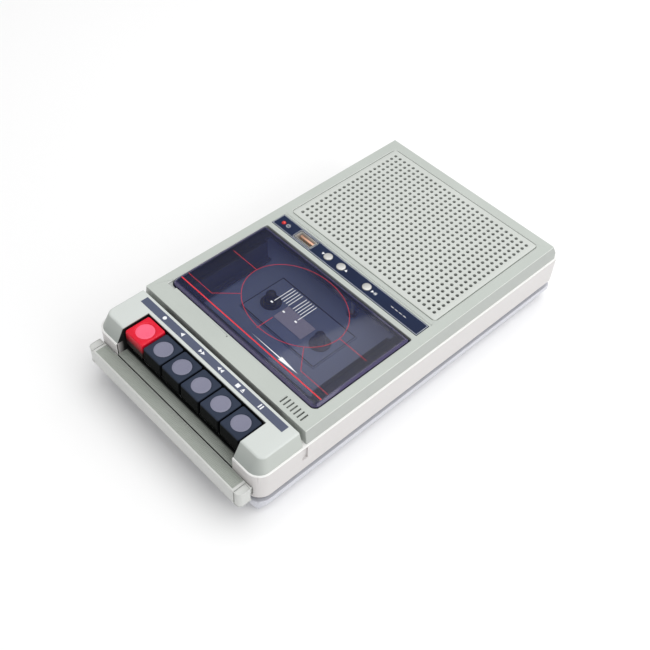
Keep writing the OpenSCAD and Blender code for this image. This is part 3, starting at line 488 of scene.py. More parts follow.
def printedInk(name, colour):
    # screen-printed ink: slightly raised grain and thin spots
    p = Paint(name)
    grain = p.noise(6500, 3, 0.6)
    thin = p.step(p.noise(1500, 4, 0.6), 0.62, 0.8)
    base = p.mix(thin * 0.35, colour, tuple(c * 0.45 for c in colour[:3]) + (1.0,))
    return p.finish(colour=base, rough=0.42 + grain * 0.16, normal=p.bump(grain, 0.15, 0.03 * mm))


finishes["whiteInk"] = printedInk("whiteInk", rgb(236, 238, 240))
finishes["redInk"] = printedInk("redInk", rgb(214, 38, 52))


def smokedLens(low, high):
    # smoked violet acrylic: a thin veil, denser and paler along its rim, with dust specks and hairline scratches
    p = Paint("smokedLens")
    x, y, _ = p.axes()
    middleY = (low[1] + high[1]) / 2
    inward = p.maths("MINIMUM", (high[0] - low[0]) / 2 - abs(x), (high[1] - low[1]) / 2 - abs(y - middleY))
    rim = 1 - p.step(inward, 0.9 * mm, 2.2 * mm)
    cloud = p.noise(22, 3, 0.5)
    dust = p.step(p.noise(2600, 2, 0.6), 0.70, 0.76)
    hair = p.step(p.noise(700, 3, 0.65, (1, 0.03, 1)), 0.66, 0.72)
    tint = p.mix(p.step(cloud, 0.3, 0.7), rgb(8, 18, 64), rgb(16, 28, 84))
    base = p.mix(dust * 0.5, p.mix(rim, tint, rgb(88, 80, 124)), rgb(150, 155, 165))
    return p.finish(colour=base, alpha=0.28 + rim * 0.35 + dust * 0.1 + cloud * 0.06, rough=0.05 + hair * 0.07,
                    coat=1.0, coatRough=0.03, normal=p.bump(hair, 0.05, 0.02 * mm))


def navyPanel(strip):
    # glossy navy panel with a thin bright line just inside its edge
    p = Paint("navyPanel")
    low, high = strip
    x, y, _ = p.axes()
    inset, line = 0.55 * mm, 0.16 * mm
    middleX, middleY = (low[0] + high[0]) / 2, (low[1] + high[1]) / 2
    fromEnd = (high[0] - low[0]) / 2 - abs(x - middleX)
    fromSide = (high[1] - low[1]) / 2 - abs(y - middleY)
    edge = p.maths("MINIMUM", fromEnd, fromSide)
    onLine = 1 - p.step(abs(edge - inset), line * 0.7, line)
    grain = p.noise(5200, 2, 0.55)
    cloud = p.step(p.noise(40, 3), 0.35, 0.7)
    tint = p.mix(cloud, rgb(10, 26, 58), rgb(16, 34, 68))
    base = p.mix(onLine, tint, rgb(196, 202, 210))
    return p.finish(colour=base, rough=0.42 + grain * 0.1, normal=p.bump(grain, 0.08, 0.04 * mm),
                    specular=0.2)


def lampRed():
    p = Paint("lampRed")
    core = p.noise(900, 2)
    base = p.mix(core, rgb(170, 14, 18), rgb(226, 40, 36))
    return p.finish(colour=base, rough=0.12 + core * 0.1, glow=base, glowPower=0.15, coat=0.6, coatRough=0.05,
                    normal=p.bump(core, 0.05, 0.05 * mm))


def grilleCloth():
    # plain weave: two sets of threads that pass over and under each other
    p = Paint("grilleCloth")
    x, y, _ = p.axes()
    pitch = 0.5 * mm
    warp = abs(p.maths("SINE", x * (math.pi / pitch)))
    weft = abs(p.maths("SINE", y * (math.pi / pitch)))
    height = p.maths("MAXIMUM", warp, weft)
    fuzz = p.noise(5000, 3, 0.7)
    base = p.mix(height * 0.6 + fuzz * 0.4, rgb(3, 3, 4), rgb(14, 14, 16))
    return p.finish(colour=base, rough=0.9 - fuzz * 0.1, normal=p.bump(height + fuzz * 0.3, 0.5, 0.2 * mm), sheen=0.2)


stripLow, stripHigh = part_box("control_strip")
finishes["lens"] = smokedLens(*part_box("door_lens"))
finishes["navy"] = navyPanel((stripLow, stripHigh))
finishes["lamp"] = lampRed()
finishes["cloth"] = grilleCloth()
print("finishes made:", len(finishes))


for name, node, finish, slotName, width, segments, least, depth in (
        ("deckShell", "upper_shell", "case", "case_grey", 0.45, 3, 60, 2.1),
        ("baseShell", "bottom_shell", "band", "case_silver", 0.45, 3, 60, 2.1),
        ("batteryDoor", "battery_door", "band", "case_silver", 0.25, 2, 0, 1000),
        ("controlPanel", "control_strip", "navy", "navy", 0.12, 2, 0, 1000),
        ("cassetteHolder", "cassette_holder", "black", "black_plastic", 0.25, 2, 0, 1000),
        ("mainsInlet", "mains_inlet", "black", "black_plastic", 0.3, 2, 0, 1000),
        ("microphoneJack", "microphone_jack", "black", "black_plastic", 0.25, 2, 0, 1000),
        ("earphoneJack", "earphone_jack", "black", "black_plastic", 0.25, 2, 0, 1000),
        ("headPlate", "head_plate", "steel", "steel", 0.15, 2, 0, 1000),
        ("recordPlayHead", "record_play_head", "chrome", "steel", 0.4, 3, 0, 1000),
        ("eraseHead", "erase_head", "black", "steel", 0.3, 2, 0, 1000),
        ("pinchArm", "pinch_arm", "steel", "steel", 0.12, 2, 0, 1000),
        ("keyLabelStrip", "key_label_strip", "slate", "slate", 0.12, 2, 0, 1000),
        ("cassetteWell", "cassette_well", "wellFloor", "black_plastic", 0.3, 2, 0, 1000)):
    softened(name, node, finishes[finish], width * mm, segments, least * mm, depth * mm)
print("shells softened")

housingShape = {"sideSlope": 3 * mm, "frontSlope": 5.2 * mm, "baseCorner": 8 * mm, "topCorner": 4.2 * mm,
                "edge": 0.9 * mm, "keyPlay": 0.6 * mm, "keyLength": 17 * mm}
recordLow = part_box("record_key")[0]
barLow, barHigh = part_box("handle_bar")


def housingLoop(share, inset, z):
    # plan outline at a share of the height: rounded front corners that tighten upwards, and the notch for the keys
    h = housingShape
    low, high = housingLow, housingHigh
    halfX = high.x - h["sideSlope"] * share - inset
    front, rear = low.y + h["frontSlope"] * share + inset, high.y - inset
    corner = h["baseCorner"] + (h["topCorner"] - h["baseCorner"]) * share - inset * 0.5
    notchX, notchY = recessHalf + inset * 0.4, recordLow.y + h["keyLength"] + h["keyPlay"] + inset * 0.4
    turn = np.linspace(0, tau / 4, 13)
    rearTurn = np.linspace(0, tau / 4, 4)
    small = 0.8 * mm
    frontArc = np.stack([halfX - corner + corner * np.sin(turn), front + corner - corner * np.cos(turn)], -1)
    rearArc = np.stack([halfX - small + small * np.cos(rearTurn), rear - small + small * np.sin(rearTurn)], -1)
    notch = [[notchX, notchY], [notchX, front + 0.3 * inset], [notchX + 0.5 * mm, front]]
    half = np.vstack([notch, frontArc, rearArc])
    loop = np.vstack([half, (half * [-1, 1])[::-1]])
    return np.column_stack([loop, np.full(len(loop), z)])


def housingBody():
    # straight slopes from the rim up to the rounded top edge
    low, high = housingLow, housingHigh
    height, e = high.z - low.z, housingShape["edge"]
    rows = [housingLoop(0, 0, low.z)]
    for turn in np.linspace(0, tau / 4, 6):
        z = high.z - e * (1 - math.sin(turn))
        rows.append(housingLoop((z - low.z) / height, e * (1 - math.cos(turn)), z))
    rows.append(housingLoop(1, e * 1.5, high.z))
    return skin(rows, capStart=True, capEnd=True)


makePiece("keyHousing", [housingBody()], finishes["housing"], node="key_housing",
          hides=("key_housing",), smooth=35)

ledgeShape = {"pitch": 1.05 * mm, "rise": 0.4 * mm, "depth": 7.2 * mm, "inset": 0.2 * mm}


def ribRow(xLow, xHigh, yFront, yRear, z, pitch, rise, steps=6, ends=0.5 * mm):
    # a row of round ribs side by side: the height follows the upper half of a sine along the row
    count = int(round((xHigh - xLow) / pitch))
    x = np.linspace(xLow, xHigh, count * steps + 1)
    swell = np.abs(np.sin(np.pi * (x - xLow) / (xHigh - xLow) * count)) ** 0.6 * rise
    rows = []
    for y, lift in ((yFront, 0), (yFront, 0.25), (yFront + ends, 1), (yRear - ends, 1), (yRear, 0.25), (yRear, 0)):
        rows.append(np.stack([x, np.full(x.shape, y), z + swell * lift + (0.01 * mm if lift else -0.1 * mm)], -1))
    rows.append(np.stack([x, np.full(x.shape, yFront), np.full(x.shape, z - 0.1 * mm)], -1))
    points, faces = skin(np.array(rows), closedRound=False)
    around = len(x)
    for end in (0, around - 1):
        faces.append([k * around + end for k in range(len(rows) - 1)])
    return points, faces


makePiece("ribbedLedge",
          [ribRow(-recessHalf + 0.2 * mm, recessHalf - 0.2 * mm, bodyFront + ledgeShape["inset"],
                  bodyFront + ledgeShape["inset"] + ledgeShape["depth"], barHigh.z,
                  ledgeShape["pitch"], ledgeShape["rise"])],
          finishes["ledge"], body="case", smooth=60, merge=True)


grilleShape = {"columns": 29, "rows": 22, "pitch": 4 * mm, "hole": 1.14 * mm, "lip": 0.12 * mm, "corner": 1.4 * mm,
               "edge": 0.35 * mm, "play": 0.2 * mm}


def grillePanel():
    # one cell per hole, a border out to the panel's edge, and the same underneath
    g = grilleShape
    low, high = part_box("speaker_grille")
    midX, midY = middle(low, high)
    half = g["pitch"] / 2
    turn = np.arange(12) * tau / 12 + tau / 8
    third = np.array([[1, 1], [1 / 3, 1], [-1 / 3, 1], [-1, 1], [-1, 1 / 3], [-1, -1 / 3], [-1, -1], [-1 / 3, -1],
                      [1 / 3, -1], [1, -1], [1, -1 / 3], [1, 1 / 3]]) * half
    circle = np.stack([np.cos(turn), np.sin(turn)], -1)
    levels = [(third, high.z), (circle * (g["hole"] + g["lip"]), high.z - 0.02 * mm),
              (circle * g["hole"], high.z - g["lip"]), (circle * g["hole"], low.z), (third, low.z)]
    cell = np.stack([np.column_stack([xy, np.full(12, z)]) for xy, z in levels])
    columns = (np.arange(g["columns"]) - (g["columns"] - 1) / 2) * g["pitch"] + midX
    rows = (np.arange(g["rows"]) - (g["rows"] - 1) / 2) * g["pitch"] + midY
    cellPoints, cellFaces = skin(cell)
    parts = [(cellPoints + [x, y, 0], cellFaces) for x in columns for y in rows]
    # border: the cells' outer line, then the panel's outline at each level
    fieldX, fieldY = g["columns"] * half, g["rows"] * half
    stepsX = np.arange(-g["columns"] * 3, g["columns"] * 3, 2) / 3 * half
    stepsY = np.arange(-g["rows"] * 3, g["rows"] * 3, 2) / 3 * half
    front = np.stack([stepsX, np.full(stepsX.shape, -fieldY)], -1)
    right = np.stack([np.full(stepsY.shape, fieldX), stepsY], -1)
    loop = np.concatenate([front, right, -front, -right])
    angles = np.arctan2(loop[:, 1], loop[:, 0])
    border = [np.column_stack([loop + [midX, midY], np.full(len(loop), high.z)])]
    for inset, z in ((g["edge"], high.z), (g["edge"] * 0.3, high.z - g["edge"] * 0.3), (0, high.z - g["edge"]),
                     (0, low.z)):
        border.append(boxRing(low, high, inset + g["play"], g["corner"], angles, z))
    border.append(np.column_stack([loop + [midX, midY], np.full(len(loop), low.z)]))
    parts.append(skin(border))
    return parts


makePiece("grillePanel", grillePanel(), finishes["grille"], node="speaker_grille",
          hides=("speaker_grille",), smooth=35, merge=True)
useNode("speaker_cloth", finishes["cloth"])
print("grille made")


keyShape = {"length": 17 * mm, "skirt": 10.7 * mm, "corner": 1.1 * mm, "edge": 0.7 * mm, "dish": 6.2 * mm,
            "dishDepth": 0.55 * mm, "disc": 5.5 * mm, "leverWidth": 6 * mm, "flare": 0.25 * mm}
pivots = {j["child"]: j["pos_m"] for j in frame["record"]["behaviour"]["joints"] if "pos_m" in j}


def keyCap(low, high):
    # rounded rectangle loops up the skirt and over the edge, then circles down into the shallow dish
    k = keyShape
    plan = ((low.x, low.y), (high.x, low.y + k["length"]))
    centre = middle(*plan)
    halfX, halfY = centre[0] - low.x, k["length"] / 2
    angles = evenAngles(halfX, halfY, k["corner"], 96)
    top, bottom = high.z, high.z - k["skirt"]
    rows = []
    for inset, z in ((1.3 * mm, top - 2.5 * mm), (1.3 * mm, bottom), (0.2 * mm, bottom), (0, bottom + 0.2 * mm),
                     (k["flare"] * 0.3, top - 3 * mm)):
        rows.append(boxRing(*plan, inset, k["corner"], angles, z))
    for turn in np.linspace(0, tau / 4, 6):
        inset = k["flare"] + k["edge"] * (1 - math.cos(turn))
        z = top - k["edge"] * (1 - math.sin(turn))
        rows.append(boxRing(*plan, inset, k["corner"], angles, z))
    outer = rayReach(halfX - k["flare"] - k["edge"], halfY - k["flare"] - k["edge"], k["corner"], angles)
    rows.append(ring(centre, outer * 0.4 + (k["dish"] + 0.3 * mm) * 0.6, angles, top))
    for r, drop in ((k["dish"] + 0.25 * mm, 0), (k["dish"], 0.06), (k["dish"] - 0.4 * mm, 0.45),
                    (k["disc"] + 0.05 * mm, 0.8), (k["disc"] * 0.6, 1.0), (k["disc"] * 0.1, 1.05)):
        rows.append(ring(centre, np.full(angles.shape, r), angles, top - k["dishDepth"] * drop))
    return skin(rows, capStart=True, capEnd=True)


def keyDisc(low, high):
    # the paler round inlay: a shallow bowl with a softened rim, its underside just below the dish
    k = keyShape
    x, y, top = (low.x + high.x) / 2, low.y + k["length"] / 2, high.z
    floor = top - k["dishDepth"] * 1.25
    profile = [(0.05 * mm, floor), (k["disc"], floor), (k["disc"], top - k["dishDepth"] * 0.75),
               (k["disc"] - 0.15 * mm, top - k["dishDepth"] * 0.66), (k["disc"] * 0.7, top - k["dishDepth"] * 0.86),
               (k["disc"] * 0.35, top - k["dishDepth"] * 0.97), (0.05 * mm, top - k["dishDepth"])]
    return lathe((x, y), profile, 56)


def keyLever(low, high, pivot):
    # the post under the cap, the arm back to the hub, the tail and the hub ring
    k = keyShape
    x, half = pivot[0], k["leverWidth"] / 2
    capRear = low.y + k["length"]
    post = roundedBox((x - half, low.y + 4 * mm, pivot[2] + 3 * mm), (x + half, capRear - 1 * mm, high.z - 2 * mm))
    arm = roundedBox((x - half, capRear - 8 * mm, pivot[2] - 2 * mm), (x + half, pivot[1], pivot[2] + 4 * mm))
    tail = roundedBox((x - half, pivot[1], low.z), (x + half, high.y, low.z + 3 * mm))
    outer, inner, wide = 4.5 * mm, 2.06 * mm, 5 * mm
    profile = [(inner, -wide), (outer - 0.3 * mm, -wide), (outer, -wide + 0.3 * mm), (outer, wide - 0.3 * mm),
               (outer - 0.3 * mm, wide), (inner, wide), (inner, -wide)]
    hubPoints, hubFaces = lathe((0, 0), profile, 40)
    hub = (hubPoints, hubFaces[:-2])
    return [post, arm, tail, turned(hub, Matrix.Translation(pivot) @ Matrix.Rotation(tau / 4, 4, "Y"))]


keyNames = ["record", "play", "rewind", "fast_forward", "stop", "pause"]
for name in keyNames:
    node = name + "_key"
    low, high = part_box(node)
    plain = "".join(w.capitalize() if n else w for n, w in enumerate(name.split("_")))
    red = name == "record"
    makePiece(plain + "Key", [keyCap(low, high)] + keyLever(low, high, pivots[name + "_lever"]),
              finishes["keyRed" if red else "keyBlue"], node=node,
              hides=(node,), smooth=38)
    makePiece(plain + "Disc", [keyDisc(low, high)], finishes["discRed" if red else "discBlue"], node=node,
              smooth=38)
print("keys made")


def pointer(x, y, size, way, low, high):
    # a solid triangle that points along way, an angle in the plan
    tip = np.array([0, tau / 3, 2 * tau / 3]) + way
    return plate(np.stack([x + size * np.cos(tip), y + size * np.sin(tip)], -1), low, high)


def bar(x, y, halfX, halfY, low, high):
    return plate([[x - halfX, y - halfY], [x + halfX, y - halfY], [x + halfX, y + halfY], [x - halfX, y + halfY]],
                 low, high)


labelLow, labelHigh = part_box("key_label_strip")
inkShape = {"thick": 0.04 * mm, "size": 1.45 * mm}


def keySymbols():
    # one drawn sign above each key: dot, triangle, double triangles, square with a wedge, two bars
    low, size = labelHigh.z - 0.01 * mm, inkShape["size"]
    high = low + inkShape["thick"]
    y = (labelLow.y + labelHigh.y) / 2
    x = {n: pivots[n + "_lever"][0] for n in keyNames}
    left, right, up = math.pi, 0.0, math.pi / 2
    parts = [plate(circlePoints(x["record"], y, size * 0.85), low, high),
             pointer(x["play"] - 0.2 * mm, y, size * 1.15, left, low, high)]
    for shift in (-1, 1):
        parts.append(pointer(x["rewind"] + shift * size * 0.8, y, size, right, low, high))
        parts.append(pointer(x["fast_forward"] + shift * size * 0.8, y, size, left, low, high))
        parts.append(bar(x["pause"] + shift * size * 0.55, y, size * 0.28, size, low, high))
    parts.append(bar(x["stop"] - size * 1.5, y, size * 0.85, size * 0.85, low, high))
    parts.append(pointer(x["stop"] + size * 1.5, y + 0.1 * mm, size * 0.85, up, low, high))
    parts.append(bar(x["stop"] + size * 1.5, y - size * 0.75, size * 0.8, size * 0.16, low, high))
    return parts


makePiece("keySymbols", keySymbols(), finishes["whiteInk"], body="case", smooth=30)


buttonShape = {"crown": 0.22 * mm, "edge": 0.35 * mm}


def buttonCap(node):
    # a turned stem with a flange below and a slightly crowned top
    low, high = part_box(node)
    x, y = middle(low, high)
    flange = (high.x - low.x) / 2
    r, top, e, crown = flange - 0.7 * mm, high.z, buttonShape["edge"], buttonShape["crown"]
    profile = [(0.05 * mm, low.z), (flange, low.z), (flange, low.z + 0.5 * mm), (r, low.z + 0.5 * mm),
               (r, top - crown - e)]
    for turn in np.linspace(0, tau / 4, 5)[1:]:
        profile.append((r - e * (1 - math.cos(turn)), top - crown - e * (1 - math.sin(turn))))
    for share in (0.75, 0.5, 0.25, 0.02):
        profile.append((r * share, top - crown * share ** 2))
    return lathe((x, y), profile, 48)


for node, name in (("track_down_button", "trackDownButton"), ("track_up_button", "trackUpButton"),
                   ("play_pause_button", "playPauseButton")):
    makePiece(name, [buttonCap(node)], finishes["chrome"], node=node, hides=(node,),
              smooth=50)


def powerLamp():
    low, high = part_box("power_led")
    r = (high.x - low.x) / 2
    profile = [(0.05 * mm, low.z), (r, low.z)]
    for turn in np.linspace(0, tau / 4, 9):
        profile.append((max(r * math.cos(turn), 0.02 * mm), high.z - r + r * math.sin(turn)))
    return lathe(middle(low, high), profile, 32)


makePiece("powerLamp", [powerLamp()], finishes["lamp"], node="power_led", hides=("power_led",),
          smooth=60)

socketShape = {"wall": 0.5 * mm, "corner": 0.8 * mm}


def socketShell():
    # a folded sheet tube: the outer wall up, a rounded lip, the inner wall down to the floor
    s = socketShape
    low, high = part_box("usb_socket")
    t = s["wall"]
    angles = evenAngles((high.x - low.x) / 2, (high.y - low.y) / 2, s["corner"], 64)
    rows = []
    for inset, z in ((0, low.z), (0, high.z - 0.15 * mm), (0.12 * mm, high.z), (t - 0.12 * mm, high.z),
                     (t, high.z - 0.2 * mm), (t, low.z + 1.5 * mm)):
        rows.append(boxRing(low, high, inset, s["corner"] - inset * 0.6, angles, z))
    return skin(rows, capStart=True, capEnd=True)


def socketTongue():
    low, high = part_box("usb_socket")
    y = (low.y + high.y) / 2
    return roundedBox((low.x + 1.2 * mm, y + 0.5 * mm, low.z + 1.4 * mm),
                      (high.x - 1.2 * mm, y + 2.3 * mm, high.z - 1.6 * mm), 0.3 * mm, 0.2 * mm)


def socketContacts():
    low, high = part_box("usb_socket")
    x, y = middle(low, high)
    bottom, top, half = low.z + 3 * mm, high.z - 2.2 * mm, 0.5 * mm
    return [roundedBox((x + at - half, y + 0.38 * mm, bottom), (x + at + half, y + 0.55 * mm, top),
                       0.1 * mm, 0.05 * mm)
            for at in (-3.5 * mm, -1 * mm, 1 * mm, 3.5 * mm)]


makePiece("usbSocket", [socketShell()], finishes["chrome"], node="usb_socket",
          hides=("usb_socket",), smooth=40)
makePiece("usbTongue", [socketTongue()], finishes["gold"], node="usb_socket", smooth=40)
makePiece("usbContacts", socketContacts(), finishes["chrome"], node="usb_socket", smooth=40)


def stripSymbols():
    # small drawn signs beside the lamp, the socket and the buttons
    low = stripHigh.z - 0.01 * mm
    high = low + inkShape["thick"]
    y = (stripLow.y + stripHigh.y) / 2
    size = 1.2 * mm
    centres = {n: (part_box(n)[0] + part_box(n)[1]) / 2 for n in ("track_down_button", "track_up_button",
                                                              "play_pause_button", "power_led")}
    up, down, right = math.pi / 2, -math.pi / 2, 0.0
    gap = 4.3 * mm
    parts = [pointer(centres["track_down_button"].x - gap, y, size, down, low, high),
             pointer(centres["track_up_button"].x + gap, y, size, up, low, high)]
    playX = centres["play_pause_button"].x + gap + 0.4 * mm
    parts.append(pointer(playX, y, size, right, low, high))
    for shift in (1.6, 2.4):
        parts.append(bar(playX + shift * size, y, size * 0.2, size * 0.8, low, high))
    lampX = centres["power_led"].x
    turn = np.linspace(up + 0.6, up + tau - 0.6, 20)
    arc = np.stack([lampX + 4.2 * mm + size * np.cos(turn), y + size * np.sin(turn), np.full(20, low)], -1)
    parts.append(ribbon(arc, 0.3 * mm, inkShape["thick"]))
    parts.append(bar(lampX + 4.2 * mm, y + size * 0.75, 0.15 * mm, size * 0.55, low, high))
    socketLow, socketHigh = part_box("usb_socket")
    halfX, halfY = (socketHigh.x - socketLow.x) / 2 + 0.8 * mm, (socketHigh.y - socketLow.y) / 2 + 0.8 * mm
    angles = evenAngles(halfX, halfY, 1 * mm, 48)
    loop = ring(((socketLow.x + socketHigh.x) / 2, y), rayReach(halfX, halfY, 1 * mm, angles), angles, low)
    parts.append(ribbon(loop, 0.18 * mm, inkShape["thick"], closedPath=True))
    dots = stripHigh.x - 24 * mm
    for k in range(4):
        parts.append(bar(dots + k * 3.2 * mm, y, 1.1 * mm, 0.16 * mm, low, high))
    return parts


makePiece("stripSymbols", stripSymbols(), finishes["whiteInk"], body="case", smooth=30)
print("control strip made")


lensShape = {"bevel": 1.2 * mm, "frontCorner": 4 * mm, "rearCorner": 1.5 * mm, "inkRoom": 0.05 * mm}
lensLow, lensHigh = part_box("door_lens")


def doorLens():
    # loops up the side, over the bevel and across the flat top; the corner radius is larger at the front
    s = lensShape
    angles = evenAngles((lensHigh.x - lensLow.x) / 2, (lensHigh.y - lensLow.y) / 2, s["frontCorner"], 160)
    radius = np.where(np.sin(angles) < 0, s["frontCorner"], s["rearCorner"])
    top = lensHigh.z - s["inkRoom"]
    rows = []
    for inset, z in ((1.5 * mm, lensLow.z), (0.3 * mm, lensLow.z), (0, lensLow.z + 0.2 * mm),
                     (0, top - s["bevel"] - 0.08 * mm), (0.08 * mm, top - s["bevel"] + 0.08 * mm),
                     (s["bevel"] - 0.1 * mm, top - 0.08 * mm),
                     (s["bevel"] + 0.1 * mm, top), (s["bevel"] + 0.6 * mm, top)):
        rows.append(boxRing(lensLow, lensHigh, inset, np.maximum(radius - inset * 0.5, 0.2 * mm), angles, z))
    return skin(rows, capStart=True, capEnd=True)


makePiece("doorLens", [doorLens()], finishes["lens"], node="door_lens", hides=("door_lens",),
          smooth=20)

spindles = [middle(*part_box(node)) for node in ("supply_spindle", "takeup_spindle")]
printShape = {"tickGap": 2.05 * mm, "tickGroup": 3.6 * mm, "longTick": 14.4 * mm, "shortTick": 11.0 * mm,
              "ring": (35.3 * mm, 27 * mm), "hair": 0.24 * mm, "redLine": 0.8 * mm, "redLineFromFront": 6.2 * mm}


def whitePrint():
    # tape scale between the spindles, small marks under it, and a long arrow near the front
    s = printShape
    low = lensHigh.z - lensShape["inkRoom"] - 0.01 * mm
    high = lensHigh.z - 0.01 * mm
    rear = spindles[0][1] + 7.1 * mm
    parts = []
    for side in (-1, 1):
        for k in range(5):
            x = side * (s["tickGroup"] / 2 + k * s["tickGap"])
            length = s["longTick"] if k == 4 else s["shortTick"]
            parts.append(bar(x, rear - length / 2, 0.17 * mm, length / 2, low, high))
    for x in (-10.3, 0, 10.1):
        parts.append(bar(x * mm, rear - 16.2 * mm, 0.8 * mm, 0.5 * mm, low, high))
    arrowY = lensLow.y + 8.9 * mm
    parts.append(plate([[0.8 * mm, arrowY - 0.1 * mm], [24 * mm, arrowY - 0.5 * mm], [24 * mm, arrowY - 1.5 * mm],
                        [38.2 * mm, arrowY - 0.35 * mm], [24 * mm, arrowY + 1.1 * mm], [24 * mm, arrowY + 0.2 * mm]],
                       low, high))
    return parts


def redPrint():
    # the thick line across the front, a thin ring about the spindles and thin lines that run out to the edges
    s = printShape
    low = lensHigh.z - lensShape["inkRoom"] - 0.01 * mm
    high = lensHigh.z - 0.01 * mm
    centreY = spindles[0][1] - 0.5 * mm
    half = lensHigh.x - lensShape["bevel"] - 0.6 * mm
    lineY = lensLow.y + s["redLineFromFront"]
    turn = np.arange(120) * tau / 120
    loop = np.stack([s["ring"][0] * np.cos(turn), centreY + s["ring"][1] * np.sin(turn), np.full(120, low)], -1)
    parts = [bar(0, lineY, half, s["redLine"] / 2, low, high), ribbon(loop, s["hair"], high - low, closedPath=True)]
    for side in (-1, 1):
        parts.append(bar(side * 46 * mm, centreY + 1.5 * mm, 10.5 * mm, s["hair"] / 2, low, high))
        sweep = np.array([[side * half, lineY + 5 * mm, low], [side * 38 * mm, lineY + 5 * mm, low],
                          [side * 27 * mm, centreY - 18 * mm, low]])
        parts.append(ribbon(sweep, s["hair"], high - low))
    parts.append(bar(-1 * mm, centreY - 22 * mm, s["hair"] / 2, 6 * mm, low, high))
    return parts


makePiece("lensWhitePrint", whitePrint(), finishes["whiteInk"], node="door_lens", smooth=30)
makePiece("lensRedPrint", redPrint(), finishes["redInk"], node="door_lens", smooth=30)
print("door made")


spindleShape = {"shaft": 1.2 * mm, "disc": 6 * mm, "core": 3.2 * mm, "fin": 4.4 * mm, "finHalf": 0.6 * mm}


def spindle(node):
    # turned shaft, drive disc, base disc and cap, with three splines
    s = spindleShape
    low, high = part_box(node)
    x, y = middle(low, high)
    discZ = high.z - 8.6 * mm
    reel = (high.x - low.x) / 2
    profile = [(0.05 * mm, low.z), (s["shaft"], low.z), (s["shaft"], low.z + 0.4 * mm),
               (reel - 0.3 * mm, low.z + 0.4 * mm), (reel, low.z + 0.7 * mm), (reel, low.z + 3.5 * mm),
               (reel - 0.3 * mm, low.z + 3.8 * mm),
               (s["shaft"], low.z + 3.8 * mm), (s["shaft"], discZ - 3.6 * mm), (2.8 * mm, discZ - 3.6 * mm),
               (2.8 * mm, discZ), (s["disc"] - 0.2 * mm, discZ), (s["disc"], discZ + 0.25 * mm),
               (s["disc"], discZ + 0.65 * mm), (s["disc"] - 0.25 * mm, discZ + 0.9 * mm),
               (s["core"] + 0.5 * mm, discZ + 0.95 * mm), (s["core"], discZ + 1.4 * mm),
               (s["core"], high.z - 1.6 * mm),
               (s["core"] - 0.3 * mm, high.z - 1.1 * mm), (1.9 * mm, high.z - 0.15 * mm), (1.5 * mm, high.z),
               (0.05 * mm, high.z)]
    fin = roundedBox((0, -s["finHalf"], discZ + 0.5 * mm), (s["fin"], s["finHalf"], high.z - 2.4 * mm),
                     0.3 * mm, 0.3 * mm)
    return [lathe((x, y), profile, 40)] + [
        turned(fin, Matrix.Translation((x, y, 0)) @ Matrix.Rotation(k * tau / 3, 4, "Z")) for k in range(3)]


for node, name in (("supply_spindle", "supplySpindle"), ("takeup_spindle", "takeupSpindle")):
    makePiece(name, spindle(node), finishes["black"], node=node, hides=(node,), smooth=40)


def pinchRoller():
    # a rubber roller with rounded rims and a bore left open for its pin
    low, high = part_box("pinch_roller")
    r = (high.x - low.x) / 2
    bore, e = 1.06 * mm, 0.35 * mm
    profile = [(bore, low.z), (r - e, low.z), (r, low.z + e), (r, high.z - e), (r - e, high.z), (bore, high.z),
               (bore, low.z)]
    points, faces = lathe(middle(low, high), profile, 40)
    return points, faces[:-2]


makePiece("pinchRoller", [pinchRoller()], finishes["rubber"], node="pinch_roller",
          hides=("pinch_roller",), smooth=40, merge=True)

wellShape = {"hole": 3.6 * mm, "padX": 12 * mm, "padTop": 30.4 * mm,
             "innerHalf": 32 * mm, "innerFront": 15.5 * mm, "innerRear": 19.5 * mm}


def wellPad():
    # the paler plate between the spindles
    x, y, z = wellShape["padX"], spindles[0][1], wellShape["padTop"]
    return [roundedBox((-x, y - 6.5 * mm, z - 0.02 * mm), (x, y + 5.5 * mm, z + 0.25 * mm), 0.6 * mm, 0.1 * mm)]


def wellLines():
    # the raised outline that frames the pad, and a flat ring about each spindle
    w, y, z = wellShape, spindles[0][1], wellShape["padTop"]
    front, rear = y - w["innerFront"] + 0.8 * mm, y + w["innerRear"] - 0.8 * mm
    x = w["innerHalf"] - 0.8 * mm
    loop = np.array([[-x, front, z - 0.02 * mm], [x, front, z - 0.02 * mm], [x, rear, z - 0.02 * mm],
                     [-x, rear, z - 0.02 * mm]])
    parts = [ribbon(loop, 0.7 * mm, 0.3 * mm, closedPath=True)]
    for cx, cy in spindles:
        profile = [(w["hole"] + 0.15 * mm, z - 0.02 * mm), (6.6 * mm, z - 0.02 * mm), (6.6 * mm, z + 0.1 * mm),
                   (w["hole"] + 0.15 * mm, z + 0.1 * mm), (w["hole"] + 0.15 * mm, z - 0.02 * mm)]
        points, faces = lathe((cx, cy), profile, 40)
        parts.append((points, faces[:-2]))
    return parts


makePiece("wellLines", wellLines(), finishes["black"], body="case", smooth=30)
makePiece("wellPad", wellPad(), finishes["wellPad"], body="case", smooth=30)

for finish, nodes in {
        "steel": ("chassis_plate", "drive_motor", "key_frame", "speaker_basket", "speaker_magnet", "transformer",
                  "control_pots"),
        "chrome": ("flywheel", "key_shaft", "key_return_springs", "door_hinge_pins", "microphone_capsule",
                   "battery_contacts"),
        "bronze": ("capstan_bearing", "motor_pulley"), "rubber": ("drive_belt",), "paper": ("speaker_cone",),
        "board": ("control_board", "main_board"), "black": ("speaker_baffle", "board_components")}.items():
    for node in nodes:
        useNode(node, finishes[finish])
print("mechanism made")


handleShape = {"ribPitch": 1.05 * mm, "ribRise": 0.3 * mm, "wall": 2 * mm, "edge": 0.5 * mm,
               "corner": 3 * mm, "armLow": 18 * mm, "armHigh": 24.5 * mm}


